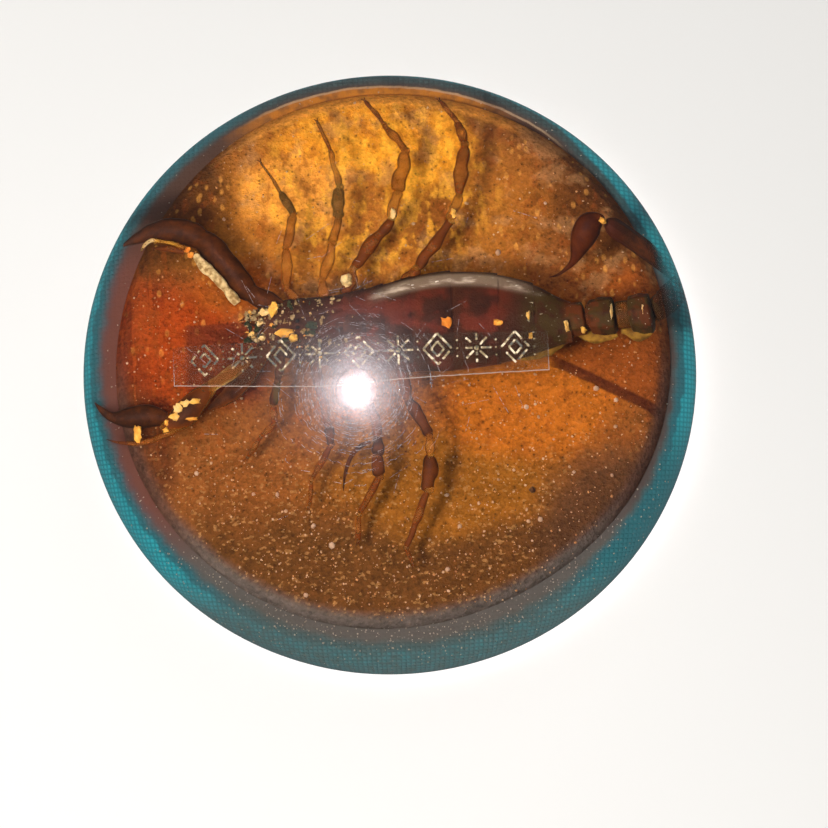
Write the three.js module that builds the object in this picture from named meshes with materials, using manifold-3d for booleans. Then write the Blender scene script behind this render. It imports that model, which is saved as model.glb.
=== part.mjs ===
// Scorpion paperweight: a clear cast-resin dome with a thin bed of coloured sand let into its
// underside, standing on a round woven cloth pad. Millimetres, +Z up, origin at the centre of the
// pad's underside. The animal lies along X, head towards -X, and its legs spread towards -Y and +Y.

import * as THREE from 'three';
import { mergeVertices } from 'three/addons/utils/BufferGeometryUtils.js';
import Module from 'manifold-3d';

// Driving dimensions.
const DOME_RADIUS = 38;
const DOME_HEIGHT = 30;
const WALL_HEIGHT = 4;
const FOOT_RADIUS = 37;
const FOOT_ROUNDING = 0.6;

const PAD_RADIUS = 36.7;
const PAD_THICKNESS = 1;
const PAD_EDGE = 0.25;

const BED_RADIUS = 27.6;
const BED_THICKNESS = 2;
const BED_SHIFT_X = 0.3;
const BED_SHIFT_Y = 0.9;
const BED_EDGE = 0.35;
const BED_EDGE_STEPS = 2;
// How far the poured rim of the bed wanders in and out: lobes round the rim, size and start angle.
const BED_WAVES = [
  { lobes: 2, size: 0.22, start: 0.6 },
  { lobes: 3, size: 0.16, start: 2.1 },
  { lobes: 5, size: 0.1, start: 4.0 },
];

// Room left between the sand bed and the resin that is cast over it.
const GAP = 0.3;

// Fineness of the round shapes.
const ROUND_STEPS = 96;
const FOOT_STEPS = 3;
const WALL_STEPS = 4;
const DOME_STEPS = 18;
// Corners closer than this are one corner when a geometry becomes a solid.
const MERGE_DISTANCE = 1e-4;

const RESIN = new THREE.MeshStandardMaterial({
  name: 'resin', color: 0xf2ead8, roughness: 0.04, metalness: 0, transparent: true, opacity: 0.35,
});
const SAND = new THREE.MeshStandardMaterial({
  name: 'sand', color: 0x9c5a28, roughness: 0.9, metalness: 0,
});
const CLOTH = new THREE.MeshStandardMaterial({
  name: 'cloth', color: 0x14777f, roughness: 0.95, metalness: 0,
});

function namedMesh(name, geometry, material) {
  const mesh = new THREE.Mesh(geometry, material);
  mesh.name = name;
  return mesh;
}

// Turns a profile of (radius, height) points into a solid standing along +Z.
function turned(points) {
  const geometry = new THREE.LatheGeometry(points, ROUND_STEPS);
  geometry.rotateX(Math.PI / 2);
  return geometry;
}

// The wall leans out from the foot to the full radius, and a half-ellipse closes the top.
function domeProfile() {
  const points = [new THREE.Vector2(0, 0)];
  for (let step = 0; step <= FOOT_STEPS; step += 1) {
    const angle = (step / FOOT_STEPS) * Math.PI / 2;
    const radius = FOOT_RADIUS - FOOT_ROUNDING * (1 - Math.sin(angle));
    const height = FOOT_ROUNDING * (1 - Math.cos(angle));
    points.push(new THREE.Vector2(radius, height));
  }
  for (let step = 1; step <= WALL_STEPS; step += 1) {
    const part = step / WALL_STEPS;
    const radius = FOOT_RADIUS + (DOME_RADIUS - FOOT_RADIUS) * Math.sin(part * Math.PI / 2);
    const height = FOOT_ROUNDING + (WALL_HEIGHT - FOOT_ROUNDING) * part;
    points.push(new THREE.Vector2(radius, height));
  }
  for (let step = 1; step < DOME_STEPS; step += 1) {
    const angle = (step / DOME_STEPS) * Math.PI / 2;
    const radius = DOME_RADIUS * Math.cos(angle);
    const height = WALL_HEIGHT + (DOME_HEIGHT - WALL_HEIGHT) * Math.sin(angle);
    points.push(new THREE.Vector2(radius, height));
  }
  points.push(new THREE.Vector2(0, DOME_HEIGHT));
  return points;
}

// The rim of the sand bed seen from above, grown outwards by the given amount.
function bedOutline(grow) {
  const shape = new THREE.Shape();
  for (let step = 0; step < ROUND_STEPS; step += 1) {
    const angle = (step / ROUND_STEPS) * 2 * Math.PI;
    let radius = BED_RADIUS + grow;
    for (const wave of BED_WAVES) {
      radius += wave.size * Math.sin(wave.lobes * angle + wave.start);
    }
    const x = radius * Math.cos(angle) + BED_SHIFT_X;
    const y = radius * Math.sin(angle) + BED_SHIFT_Y;
    if (step === 0) {
      shape.moveTo(x, y);
    } else {
      shape.lineTo(x, y);
    }
  }
  shape.closePath();
  return shape;
}

const manifold = await Module();
manifold.setup();

function toSolid(geometry) {
  const bare = geometry.clone();
  bare.deleteAttribute('normal');
  bare.deleteAttribute('uv');
  const merged = mergeVertices(bare, MERGE_DISTANCE);
  return new manifold.Manifold(new manifold.Mesh({
    numProp: 3,
    vertProperties: new Float32Array(merged.attributes.position.array),
    triVerts: new Uint32Array(merged.index.array),
  }));
}

function toGeometry(solid) {
  const mesh = solid.getMesh();
  const geometry = new THREE.BufferGeometry();
  geometry.setAttribute('position', new THREE.BufferAttribute(mesh.vertProperties, 3));
  geometry.setIndex(new THREE.BufferAttribute(mesh.triVerts, 1));
  geometry.computeVertexNormals();
  return geometry;
}

function makePad() {
  return turned([
    new THREE.Vector2(0, 0),
    new THREE.Vector2(PAD_RADIUS - PAD_EDGE, 0),
    new THREE.Vector2(PAD_RADIUS, PAD_EDGE),
    new THREE.Vector2(PAD_RADIUS, PAD_THICKNESS - PAD_EDGE),
    new THREE.Vector2(PAD_RADIUS - PAD_EDGE, PAD_THICKNESS),
    new THREE.Vector2(0, PAD_THICKNESS),
  ]);
}

function makeBed() {
  const geometry = new THREE.ExtrudeGeometry(bedOutline(-BED_EDGE), {
    depth: BED_THICKNESS - 2 * BED_EDGE,
    bevelEnabled: true,
    bevelThickness: BED_EDGE,
    bevelSize: BED_EDGE,
    bevelSegments: BED_EDGE_STEPS,
    curveSegments: 1,
  });
  geometry.translate(0, 0, BED_EDGE);
  return geometry;
}

// The dome, with the pocket for the sand bed sunk into its underside.
function makeDome() {
  const pocketDepth = BED_THICKNESS + GAP;
  const pocket = new THREE.ExtrudeGeometry(bedOutline(GAP), {
    depth: 2 * pocketDepth,
    bevelEnabled: false,
    curveSegments: 1,
  });
  pocket.translate(0, 0, -pocketDepth);
  return toGeometry(toSolid(turned(domeProfile())).subtract(toSolid(pocket)));
}

const paperweight = new THREE.Group();
paperweight.add(namedMesh('base_pad', makePad(), CLOTH));

const casting = new THREE.Group();
casting.position.z = PAD_THICKNESS;
casting.add(namedMesh('sand_bed', makeBed(), SAND));
casting.add(namedMesh('resin_dome', makeDome(), RESIN));
paperweight.add(casting);

export default paperweight;
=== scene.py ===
"""A clear resin dome with a dried scorpion cast over a bed of coloured sand, on a woven cloth pad.

Lengths in this file are millimetres and become metres where a mesh is made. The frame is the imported
model's own: +Z up, origin at the centre of the pad's underside, the animal's head towards -X.
"""

from __future__ import annotations

import logging
import random
from collections.abc import Callable, Sequence
from dataclasses import dataclass, field
from enum import Enum
from math import atan2, cos, dist, exp, hypot, pi, radians, sin, sqrt
from typing import Any

import bmesh
import bpy
from bpy.types import Material, Node, NodeSocket, Object
from mathutils import Matrix, Vector, noise


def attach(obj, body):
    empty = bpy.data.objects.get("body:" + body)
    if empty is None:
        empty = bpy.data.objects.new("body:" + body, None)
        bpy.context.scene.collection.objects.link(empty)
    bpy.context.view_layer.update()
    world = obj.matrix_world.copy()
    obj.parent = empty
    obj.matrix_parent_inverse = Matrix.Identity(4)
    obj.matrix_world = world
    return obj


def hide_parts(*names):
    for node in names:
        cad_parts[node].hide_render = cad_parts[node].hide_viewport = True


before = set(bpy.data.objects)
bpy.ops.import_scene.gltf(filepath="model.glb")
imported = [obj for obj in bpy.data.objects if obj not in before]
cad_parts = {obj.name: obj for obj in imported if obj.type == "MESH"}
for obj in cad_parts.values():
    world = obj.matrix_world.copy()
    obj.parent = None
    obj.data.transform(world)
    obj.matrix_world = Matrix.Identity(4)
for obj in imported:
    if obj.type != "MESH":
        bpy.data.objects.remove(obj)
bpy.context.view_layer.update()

MM = 0.001
TURN = 2 * pi
BODY = "root"
SHRINK_SEED = 11

Pair = tuple[float, float]
Colour = tuple[float, float, float]
Place = tuple[float, float, float]
Values = dict[str | int, Any]

log = logging.getLogger("paperweight")


# ---- shader expressions


class Signal:
    """A shader number that takes part in Python expressions by adding Math nodes."""

    def __init__(self, board: Board, socket: NodeSocket) -> None:
        """Wraps one output socket of a board."""
        self.board = board
        self.socket = socket

    def math(self, operation: str, *others: Signal | float) -> Signal:
        """Adds one Math node.

        Args:
            operation: the Math node's operation.
            others: the second and third values, as numbers or signals.

        Returns:
            The node's result.
        """
        inputs = {0: self, **dict(enumerate(others, start=1))}
        return self.board.signal("ShaderNodeMath", {"operation": operation}, inputs)

    def _after(self, operation: str, first: float) -> Signal:
        """Adds a Math node whose first value is a plain number and whose second is this signal."""
        return self.board.signal("ShaderNodeMath", {"operation": operation}, {0: first, 1: self})

    def __add__(self, other: Signal | float) -> Signal:
        """Sum."""
        return self.math("ADD", other)

    __radd__ = __add__

    def __mul__(self, other: Signal | float) -> Signal:
        """Product."""
        return self.math("MULTIPLY", other)

    __rmul__ = __mul__

    def __sub__(self, other: Signal | float) -> Signal:
        """Difference."""
        return self.math("SUBTRACT", other)

    def __rsub__(self, other: float) -> Signal:
        """A plain number less this signal."""
        return self._after("SUBTRACT", other)

    def __truediv__(self, other: Signal | float) -> Signal:
        """Quotient."""
        return self.math("DIVIDE", other)

    def __abs__(self) -> Signal:
        """Size without sign."""
        return self.math("ABSOLUTE")

    def least(self, other: Signal | float) -> Signal:
        """The smaller of two values."""
        return self.math("MINIMUM", other)

    def most(self, other: Signal | float) -> Signal:
        """The larger of two values."""
        return self.math("MAXIMUM", other)

    def rise(self, low: float, high: float) -> Signal:
        """A smooth step from 0 at low to 1 at high, or falling where low is above high.

        Args:
            low: the value at which it is 0.
            high: the value at which it is 1.

        Returns:
            The step.
        """
        start, end, flipped = (low, high, False) if low < high else (high, low, True)
        step = self.board.signal(
            "ShaderNodeMapRange",
            {"interpolation_type": "SMOOTHSTEP"},
            {"Value": self, "From Min": start, "From Max": end},
        )
        return 1 - step if flipped else step


class Board:
    """One material's node tree, with the few calls that the finishes are written in."""

    def __init__(self, name: str, colour: Colour = (0.0, 0.0, 0.0)) -> None:
        """Starts a material.

        Args:
            name: the material's name.
            colour: the ground colour that others are laid over.
        """
        self.material = bpy.data.materials.new(name)
        self.material.use_nodes = True
        self.tree = self.material.node_tree
        self.tree.nodes.clear()
        self.output = self.tree.nodes.new("ShaderNodeOutputMaterial")
        self.colour: Any = colour
        spot = self.node("ShaderNodeTexCoord").outputs["Object"]
        scaled = self.node("ShaderNodeVectorMath", {"operation": "SCALE"}, {0: spot, "Scale": 1 / MM})
        self.place = scaled.outputs[0]
        split = self.node("ShaderNodeSeparateXYZ", inputs={0: self.place})
        self.x, self.y, self.z = (Signal(self, socket) for socket in split.outputs)

    def node(self, kind: str, settings: Values | None = None, inputs: Values | None = None) -> Node:
        """Adds one node.

        Args:
            kind: the node's type name.
            settings: its properties, set first; "stops" holds a ramp's stops.
            inputs: values, signals or sockets for its inputs, by name or number.

        Returns:
            The new node.
        """
        made = self.tree.nodes.new(kind)
        for name, value in (settings or {}).items():
            if name == "stops":
                self._set_stops(made, value)
            else:
                setattr(made, name, value)
        for key, value in (inputs or {}).items():
            socket = made.inputs[key]
            if isinstance(value, Signal):
                self.tree.links.new(value.socket, socket)
            elif isinstance(value, NodeSocket):
                self.tree.links.new(value, socket)
            elif socket.type == "RGBA":
                socket.default_value = (*value, 1.0)
            else:
                socket.default_value = value
        return made

    @staticmethod
    def _set_stops(ramp: Node, stops: Sequence[tuple[float, Colour]]) -> None:
        """Fills a Color Ramp with stops of place and colour.

        Args:
            ramp: the node.
            stops: its places and colours, in order.
        """
        elements = ramp.color_ramp.elements
        while len(elements) < len(stops):
            elements.new(1.0)
        for element, (place, colour) in zip(elements, stops):
            element.position = place
            element.color = (*colour, 1.0)

    def signal(
        self, kind: str, settings: Values | None = None, inputs: Values | None = None, output: str | int = 0
    ) -> Signal:
        """Adds one node and returns one of its outputs as a signal.

        Args:
            kind: the node's type name.
            settings: its properties.
            inputs: what its inputs take.
            output: the output that is wanted.

        Returns:
            That output.
        """
        return Signal(self, self.node(kind, settings, inputs).outputs[output])

    def _drawn(self, by: Place | None) -> NodeSocket:
        """The place in millimetres, drawn out.

        Args:
            by: how much denser along each axis, or None for even.

        Returns:
            The place's socket.
        """
        if by is None:
            return self.place
        inputs = {0: self.place, 1: by}
        return self.node("ShaderNodeVectorMath", {"operation": "MULTIPLY"}, inputs).outputs[0]

    def noise(self, scale: float, detail: float = 3.0, drawn: Place | None = None) -> Signal:
        """Makes cloudy noise from 0 to 1.

        Args:
            scale: bumps per millimetre.
            detail: how many finer layers it has.
            drawn: how much denser it is along each axis.

        Returns:
            The noise.
        """
        inputs = {"Vector": self._drawn(drawn), "Scale": scale, "Detail": detail}
        return self.signal("ShaderNodeTexNoise", inputs=inputs, output="Fac")

    def cells(self, scale: float, drawn: Place | None = None) -> tuple[Signal, Signal]:
        """Packs the surface with grains.

        Args:
            scale: grains per millimetre.
            drawn: how much denser they are along each axis.

        Returns:
            The way to the nearest grain's middle, and that grain's own random shade from 0 to 1.
        """
        grains = self.node("ShaderNodeTexVoronoi", inputs={"Vector": self._drawn(drawn), "Scale": scale})
        split = self.node("ShaderNodeSeparateXYZ", inputs={0: grains.outputs["Color"]})
        return Signal(self, grains.outputs["Distance"]), Signal(self, split.outputs[0])

    def tone(self) -> Signal:
        """The tone that the mesh carries at each point, from pale 0 to dark 1."""
        return self.signal("ShaderNodeAttribute", {"attribute_name": "tone"}, output="Fac")

    def mix(self, first: Any, second: Any, factor: Signal | float) -> NodeSocket:
        """A colour between two colours."""
        inputs = {0: factor, 6: first, 7: second}
        return self.node("ShaderNodeMix", {"data_type": "RGBA"}, inputs).outputs[2]

    def lay(self, colour: Any, factor: Signal | float) -> None:
        """Lays a colour over the material's colour so far."""
        self.colour = self.mix(self.colour, colour, factor)

    def dim(self, colour: Any, by: Signal) -> NodeSocket:
        """A colour made lighter or darker by a signal."""
        return self.node("ShaderNodeVectorMath", {"operation": "SCALE"}, {0: colour, "Scale": by}).outputs[0]

    def ramp(self, factor: Signal, stops: Sequence[tuple[float, Colour]]) -> NodeSocket:
        """A colour read off a ramp."""
        return self.node("ShaderNodeValToRGB", {"stops": stops}, {"Fac": factor}).outputs["Color"]

    def bump(self, height: Signal, depth_mm: float) -> NodeSocket:
        """A normal from a height signal of the given depth."""
        inputs = {"Height": height, "Distance": depth_mm * MM, "Strength": 1.0}
        return self.node("ShaderNodeBump", inputs=inputs).outputs["Normal"]

    def patch(self, centre: Pair, reach: Pair, drift: tuple[Signal, Signal] | None = None) -> Signal:
        """Makes a soft oval mask.

        Args:
            centre: its middle.
            reach: its half sizes.
            drift: other x and y to measure by, for an oval that wanders.

        Returns:
            1 at its centre and 0 past its reach.
        """
        x, y = drift or (self.x, self.y)
        across = (x - centre[0]) / reach[0]
        along = (y - centre[1]) / reach[1]
        return (across * across + along * along).rise(1.0, 0.0)

    def surface(self, **inputs: Any) -> Material:
        """Closes the material with one Principled shader.

        Args:
            inputs: its sockets, with spaces in their names written as underscores.

        Returns:
            The finished material.
        """
        named = {name.replace("_", " "): value for name, value in inputs.items()}
        shader = self.node("ShaderNodeBsdfPrincipled", inputs=named)
        self.tree.links.new(shader.outputs[0], self.output.inputs["Surface"])
        return self.material


# ---- finishes


@dataclass(frozen=True)
class ClearResin:
    """Polished clear casting resin with a scuffed, faintly hazy crown."""

    ior: float = 1.52
    tint: Colour = (1.0, 0.985, 0.955)
    roughness: float = 0.035
    haze_centre: Pair = (-7.0, -7.2)
    haze_reach: Pair = (17.0, 14.0)
    haze: float = 0.76
    haze_roughness: float = 0.29

    def material(self) -> Material:
        """Builds the resin."""
        board = Board("clear_resin")
        scuffed = board.patch(self.haze_centre, self.haze_reach)
        patchy = board.noise(0.5).rise(0.25, 0.7)
        return board.surface(
            Base_Color=self.tint,
            Roughness=self.roughness,
            IOR=self.ior,
            Transmission_Weight=1.0,
            Coat_Weight=scuffed * (patchy * 0.4 + 0.6) * self.haze,
            Coat_Roughness=self.haze_roughness,
            Coat_IOR=1.5,
        )


@dataclass(frozen=True)
class SandTint:
    """One broad tint of colour laid on the sand, used both for its dyed colours and for painted shadows:
    where it lies and how far it reaches, in mm.
    """

    centre: Pair
    reach: Pair
    colour: Colour
    strength: float = 1.0


@dataclass(frozen=True)
class BondedSand:
    """Coloured sand set in resin, stained unevenly from yellow through orange to brown, with painted shadows
    and painted shade laid over it.
    """

    ground: Colour = (0.185, 0.058, 0.011)
    stains_and_shadows: tuple[SandTint, ...] = (
        SandTint((-3.0, 15.5), (24.0, 13.0), (0.32, 0.110, 0.013)),
        SandTint((-25.0, 2.5), (7.0, 11.0), (0.150, 0.022, 0.004)),
        SandTint((-18.5, 3.0), (8.5, 9.0), (0.25, 0.035, 0.004)),
        SandTint((-0.5, 23.5), (12.5, 6.5), (0.56, 0.205, 0.012)),
        SandTint((-9.0, 18.5), (8.0, 5.0), (0.62, 0.240, 0.030), 0.95),
        SandTint((3.0, 20.5), (6.0, 5.0), (0.56, 0.210, 0.012), 0.85),
        # Painted shadow of the upper legs on the sand.
        SandTint((6.0, 14.5), (5.0, 5.5), (0.17, 0.052, 0.007), 0.7),
        SandTint((24.0, 2.5), (8.0, 9.0), (0.20, 0.048, 0.006)),
        SandTint((4.5, -12.0), (16.0, 7.5), (0.205, 0.070, 0.007)),
        SandTint((14.5, -4.5), (13.0, 7.0), (0.34, 0.094, 0.008)),
        SandTint((-15.0, 8.5), (6.0, 4.0), (0.25, 0.058, 0.006), 0.8),
        # Painted shade in the two far corners; the -X one also holds the upper claw's shadow band.
        SandTint((-22.5, 18.0), (9.0, 9.0), (0.080, 0.025, 0.004)),
        SandTint((22.5, 16.5), (7.5, 8.5), (0.085, 0.026, 0.005), 0.95),
        # Painted shadow of the lower claw.
        SandTint((-26.5, -8.0), (5.0, 8.0), (0.10, 0.028, 0.007)),
    )
    low_edge: Colour = (0.094, 0.033, 0.007)
    low_edge_y: Pair = (-12.5, -18.5)
    # Painted shade over the +X -Y corner of the bed, grey-brown.
    veil: Colour = (0.070, 0.028, 0.011)
    corner_shade_centre: Pair = (24.0, -18.0)
    corner_shade_reach: Pair = (12.5, 10.5)
    tan_haze: Colour = (0.30, 0.145, 0.050)
    yellow_smear: Colour = (0.80, 0.37, 0.030)
    dull_smear: Colour = (0.20, 0.045, 0.006)
    bright_fleck: Colour = (0.60, 0.27, 0.045)
    tan_fleck: Colour = (0.36, 0.185, 0.055)
    dark_speck: Colour = (0.05, 0.016, 0.005)
    # Painted light and dark streaks for the refraction at the dome's -X rim.
    dark_refraction_streak: Colour = (0.13, 0.026, 0.006)
    pale_refraction_streak: Colour = (0.36, 0.070, 0.009)
    side_fines: Colour = (0.085, 0.040, 0.026)
    low_fines: Colour = (0.112, 0.094, 0.080)
    far_slope_light: Colour = (0.72, 0.27, 0.034)
    film_shade: Colour = (0.105, 0.019, 0.007)
    film_shade_x: Pair = (-21.0, -20.1)
    film_shade_y: Pair = (4.95, 4.6)
    # Painted shadow edge and the painted shadow band on its +Y side.
    shadow_band: Colour = (0.19, 0.044, 0.006)
    shadow_edge_line: Colour = (0.065, 0.013, 0.004)
    line_start: Pair = (16.2, -0.3)
    line_fall: float = 0.49
    wander: float = 6.0
    roughness: float = 0.8

    def material(self) -> Material:
        """Builds the sand."""
        board = Board("bonded_sand", self.ground)
        drift_x = board.x + (board.noise(0.12, 4.0) - 0.5) * self.wander
        drift_y = board.y + (board.noise(0.16, 4.0) - 0.5) * self.wander
        board.lay(self.low_edge, drift_y.rise(*self.low_edge_y))
        for sand_tint in self.stains_and_shadows:
            mask = board.patch(sand_tint.centre, sand_tint.reach, (drift_x, drift_y)) * sand_tint.strength
            board.lay(sand_tint.colour, (mask * 1.35).least(1.0))
        self._flecks(board)
        self._streaks(board)
        # Painted shade over the +X -Y corner.
        shaded_corner = board.patch(self.corner_shade_centre, self.corner_shade_reach, (drift_x, drift_y))
        board.lay(self.veil, (shaded_corner * 1.3).least(0.85))
        self._rim(board)
        way, shade = board.cells(2.4)
        fine_way, fine_shade = board.cells(5.5)
        light = shade * 0.36 + fine_shade * 0.30 + 0.11
        light = light + board.noise(0.42, 5.0) * 0.7 + board.noise(1.7) * 0.42
        return board.surface(
            Base_Color=board.dim(board.colour, light),
            Roughness=self.roughness,
            Specular_IOR_Level=0.02,
            Normal=board.bump(fine_way * 0.5 + way, 0.12),
        )

    def _flecks(self, board: Board) -> None:
        """Sprinkles yellow flecks towards +Y and tan ones towards -Y, and a few dark specks.

        Args:
            board: the material that is being made.
        """
        x, y = board.x, board.y
        way, shade = board.cells(1.35, (1.0, 0.6, 1.0))
        bright = way.rise(0.42, 0.22) * shade.rise(0.72, 0.78) * y.rise(-3.0, 5.0)
        hazy = board.noise(0.33, 4.0).rise(0.50, 0.62) * y.rise(2.0, 7.0) * x.rise(-18.5, -13.0)
        board.lay(self.tan_haze, hazy * 0.5)
        smears = board.noise(0.8, 6.0, (1.15, 0.7, 1.0))
        among_legs = (board.patch((-0.5, 19.0), (14.5, 12.0)) * 1.7).least(1.0)
        board.lay(self.yellow_smear, smears.rise(0.48, 0.62) * among_legs * 0.55)
        board.lay(self.dull_smear, smears.rise(0.45, 0.36) * y.rise(-13.0, -6.0) * 0.45)
        board.lay(self.bright_fleck, bright * board.noise(2.0) * 0.8)
        _, shade = board.cells(3.4, (0.9, 1.3, 1.0))
        tan = shade.rise(0.86, 0.93) * y.rise(-4.0, -14.0)
        board.lay(self.tan_fleck, tan * board.noise(2.6) * 0.9)
        way, shade = board.cells(2.4)
        board.lay(self.dark_speck, shade.rise(0.20, 0.14) * way.rise(0.32, 0.2) * 0.6)

    def _rim(self, board: Board) -> None:
        """Greys the sloping rim towards -Y with fines, and paints light onto the sloping rim towards +Y to
        make up for its shading.

        Args:
            board: the material that is being made.
        """
        fines = board.mix(self.side_fines, self.low_fines, board.y.rise(-12.0, -21.0))
        board.lay(fines, board.z.rise(2.9, 1.9) * board.y.rise(6.0, -4.0) * 0.85)
        # Painted light on the far slope.
        far = (board.patch((-0.5, 28.0), (18.0, 12.0)) * 1.6).least(1.0)
        board.lay(self.far_slope_light, board.z.rise(2.9, 2.4) * far * 0.75)

    def _streaks(self, board: Board) -> None:
        """Lays painted light and dark streaks beside the -X rim for the dome's refraction there, the film's
        straight-edged painted shadow and a painted shadow edge.

        Args:
            board: the material that is being made.
        """
        x, y = board.x, board.y
        # Painted light and dark streaks along Y beside the -X rim, standing in for refraction at the dome's
        # edge.
        refraction_streaks = board.noise(1.0, 3.0, (1.6, 0.06, 1.0))
        beside = x.rise(-20.0, -24.5) * abs(y - 1.5).rise(13.0, 7.0)
        board.lay(self.dark_refraction_streak, beside * refraction_streaks.rise(0.49, 0.64) * 0.55)
        board.lay(self.pale_refraction_streak, beside * refraction_streaks.rise(0.47, 0.38) * 0.3)
        shaded = x.rise(*self.film_shade_x) * x.rise(-12.0, -14.0)
        shaded = shaded * y.rise(*self.film_shade_y) * y.rise(-4.5, -1.5)
        board.lay(self.film_shade, shaded * 0.8)
        # Painted shadow edge: a dark line falling towards +X, with a painted shadow band on its +Y side.
        off_line = y - self.line_start[1] + (x - self.line_start[0]) * self.line_fall
        length = x.rise(15.0, 17.5) * x.rise(29.0, 27.0)
        shade = off_line.rise(-0.3, 0.3) * off_line.rise(8.5, 6.0) * length
        board.lay(self.shadow_band, shade * 0.8)
        line = abs(off_line + (board.noise(0.8) - 0.5) * 0.4).rise(0.8, 0.45) * length
        board.lay(self.shadow_edge_line, line * 0.92)


@dataclass(frozen=True)
class WovenCloth:
    """Teal plain weave, dusted with sand fines next to the bed. Its colour carries painted light and shade:
    lit threads at the outer rim, darker painted shade inward and in the +X -Y corner, a painted highlight
    line along the bed's far edge and a painted shadow on the far dust.
    """

    pitch: float = 0.5
    thread: Colour = (0.006, 0.105, 0.130)
    lit_thread: Colour = (0.022, 0.29, 0.33)
    deep: Colour = (0.020, 0.088, 0.102)
    shaded: Colour = (0.034, 0.040, 0.036)
    dust: Colour = (0.062, 0.040, 0.032)
    warm_dust: Colour = (0.096, 0.044, 0.040)
    grey_dust: Colour = (0.078, 0.066, 0.056)
    far_shadowed_dust: Colour = (0.062, 0.026, 0.014)
    far_sand: Colour = (0.37, 0.125, 0.008)
    red_dust: Colour = (0.120, 0.034, 0.016)
    # Colour of the painted highlight line along the bed's far edge.
    fines: Colour = (0.42, 0.29, 0.17)
    speck: Colour = (0.19, 0.17, 0.14)
    veil: Colour = (0.058, 0.078, 0.072)
    drift: Pair = (-0.2, 0.8)
    shaded_ring_radius: Pair = (30.1, 29.6)
    dust_radius: Pair = (29.5, 28.3)
    highlight_line_radius: float = 28.5
    veil_y: Pair = (-19.0, -26.0)

    def material(self) -> Material:
        """Builds the cloth."""
        board = Board("woven_cloth", self.thread)
        x, y = board.x, board.y
        weave = self._weave(x, y)
        upper = board.z.rise(0.5, 0.7)
        across, along = x - self.drift[0], y - self.drift[1]
        radius = (across * across + along * along).math("SQRT")
        ragged = radius + (board.noise(0.7, 4.0) - 0.5) * (1.2 - y.rise(6.0, 20.0) * 0.85)
        ragged = ragged + board.patch((24.0, 17.5), (11.0, 10.0)) * 0.7
        board.lay(self.lit_thread, weave * 0.75 + board.noise(0.35) * 0.3)
        # Painted shade: darker teal inside the lit outer rim, darkest towards +Y, and over the +X -Y corner.
        deep = board.mix(self.deep, self.shaded, y.rise(11.0, 20.0) * x.rise(-16.0, -9.0))
        corner = board.patch((28.0, -17.0), (15.0, 13.0))
        board.lay(deep, ragged.rise(*self.shaded_ring_radius).most(corner) * upper * 0.9)
        veil = y.rise(*self.veil_y) * (board.noise(1.4, 4.0) * 0.7 + 0.45)
        board.lay(self.veil, veil.least(1.0) * upper)
        dusty = ragged.rise(*self.dust_radius) * upper
        board.lay(self._dust(board, ragged), dusty * 0.95)
        # Painted highlight: a pale line where the bed's far edge catches the light.
        line = abs(ragged - self.highlight_line_radius).rise(0.18, 0.06) * upper
        line = line * (board.patch((4.0, 30.0), (20.0, 14.0)) * 2.0).least(1.0)
        board.lay(self.fines, line * 0.55)
        specks = board.cells(1.9)[0].rise(0.26, 0.12)
        specks = specks * y.rise(-10.0, -22.0) * upper * board.noise(1.1).rise(0.42, 0.6)
        board.lay(self.speck, specks * 0.5)
        height = weave * (1 - dusty * 0.8) + board.noise(6.0, 4.0) * 0.3
        return board.surface(
            Base_Color=board.colour,
            Roughness=0.92,
            Specular_IOR_Level=0.05,
            Normal=board.bump(height, 0.12),
        )

    def _dust(self, board: Board, ragged: Signal) -> NodeSocket:
        """Colours the fines on the cloth next to the bed: warm, grey or sandy by where they lie, and dark
        with a painted shadow towards +Y where they are not sandy.

        Args:
            board: the material.
            ragged: the way from the bed's middle, with a ragged edge.

        Returns:
            Their colour.
        """
        warm = board.mix(self.warm_dust, self.red_dust, ragged.rise(28.7, 27.9) * 0.75)
        dust = board.mix(self.dust, warm, board.x.rise(-8.0, -24.0))
        dust = board.mix(dust, self.grey_dust, board.y.rise(-12.0, -21.0))
        sandy = board.patch((-1.5, 29.0), (17.5, 10.0))
        sandy = (sandy * 1.3).least(1.0) * ragged.rise(28.7, 28.3)
        patchy = board.noise(0.9, 4.0).rise(0.7, 0.4) * 0.6 + 0.4
        # Painted shadow: the far dust towards +Y is dark where it is not sandy.
        far = board.mix(self.far_shadowed_dust, self.far_sand, sandy * patchy)
        return board.mix(dust, far, board.y.rise(10.0, 18.0))

    def _weave(self, x: Signal, y: Signal) -> Signal:
        """How high each thread lies.

        Args:
            x: the place across.
            y: the place along.

        Returns:
            1 on top of a crossing and 0 between threads.
        """
        across = (x * (pi / self.pitch)).math("SINE")
        along = (y * (pi / self.pitch)).math("SINE")
        return abs(across * along).math("POWER", 0.6)


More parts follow.
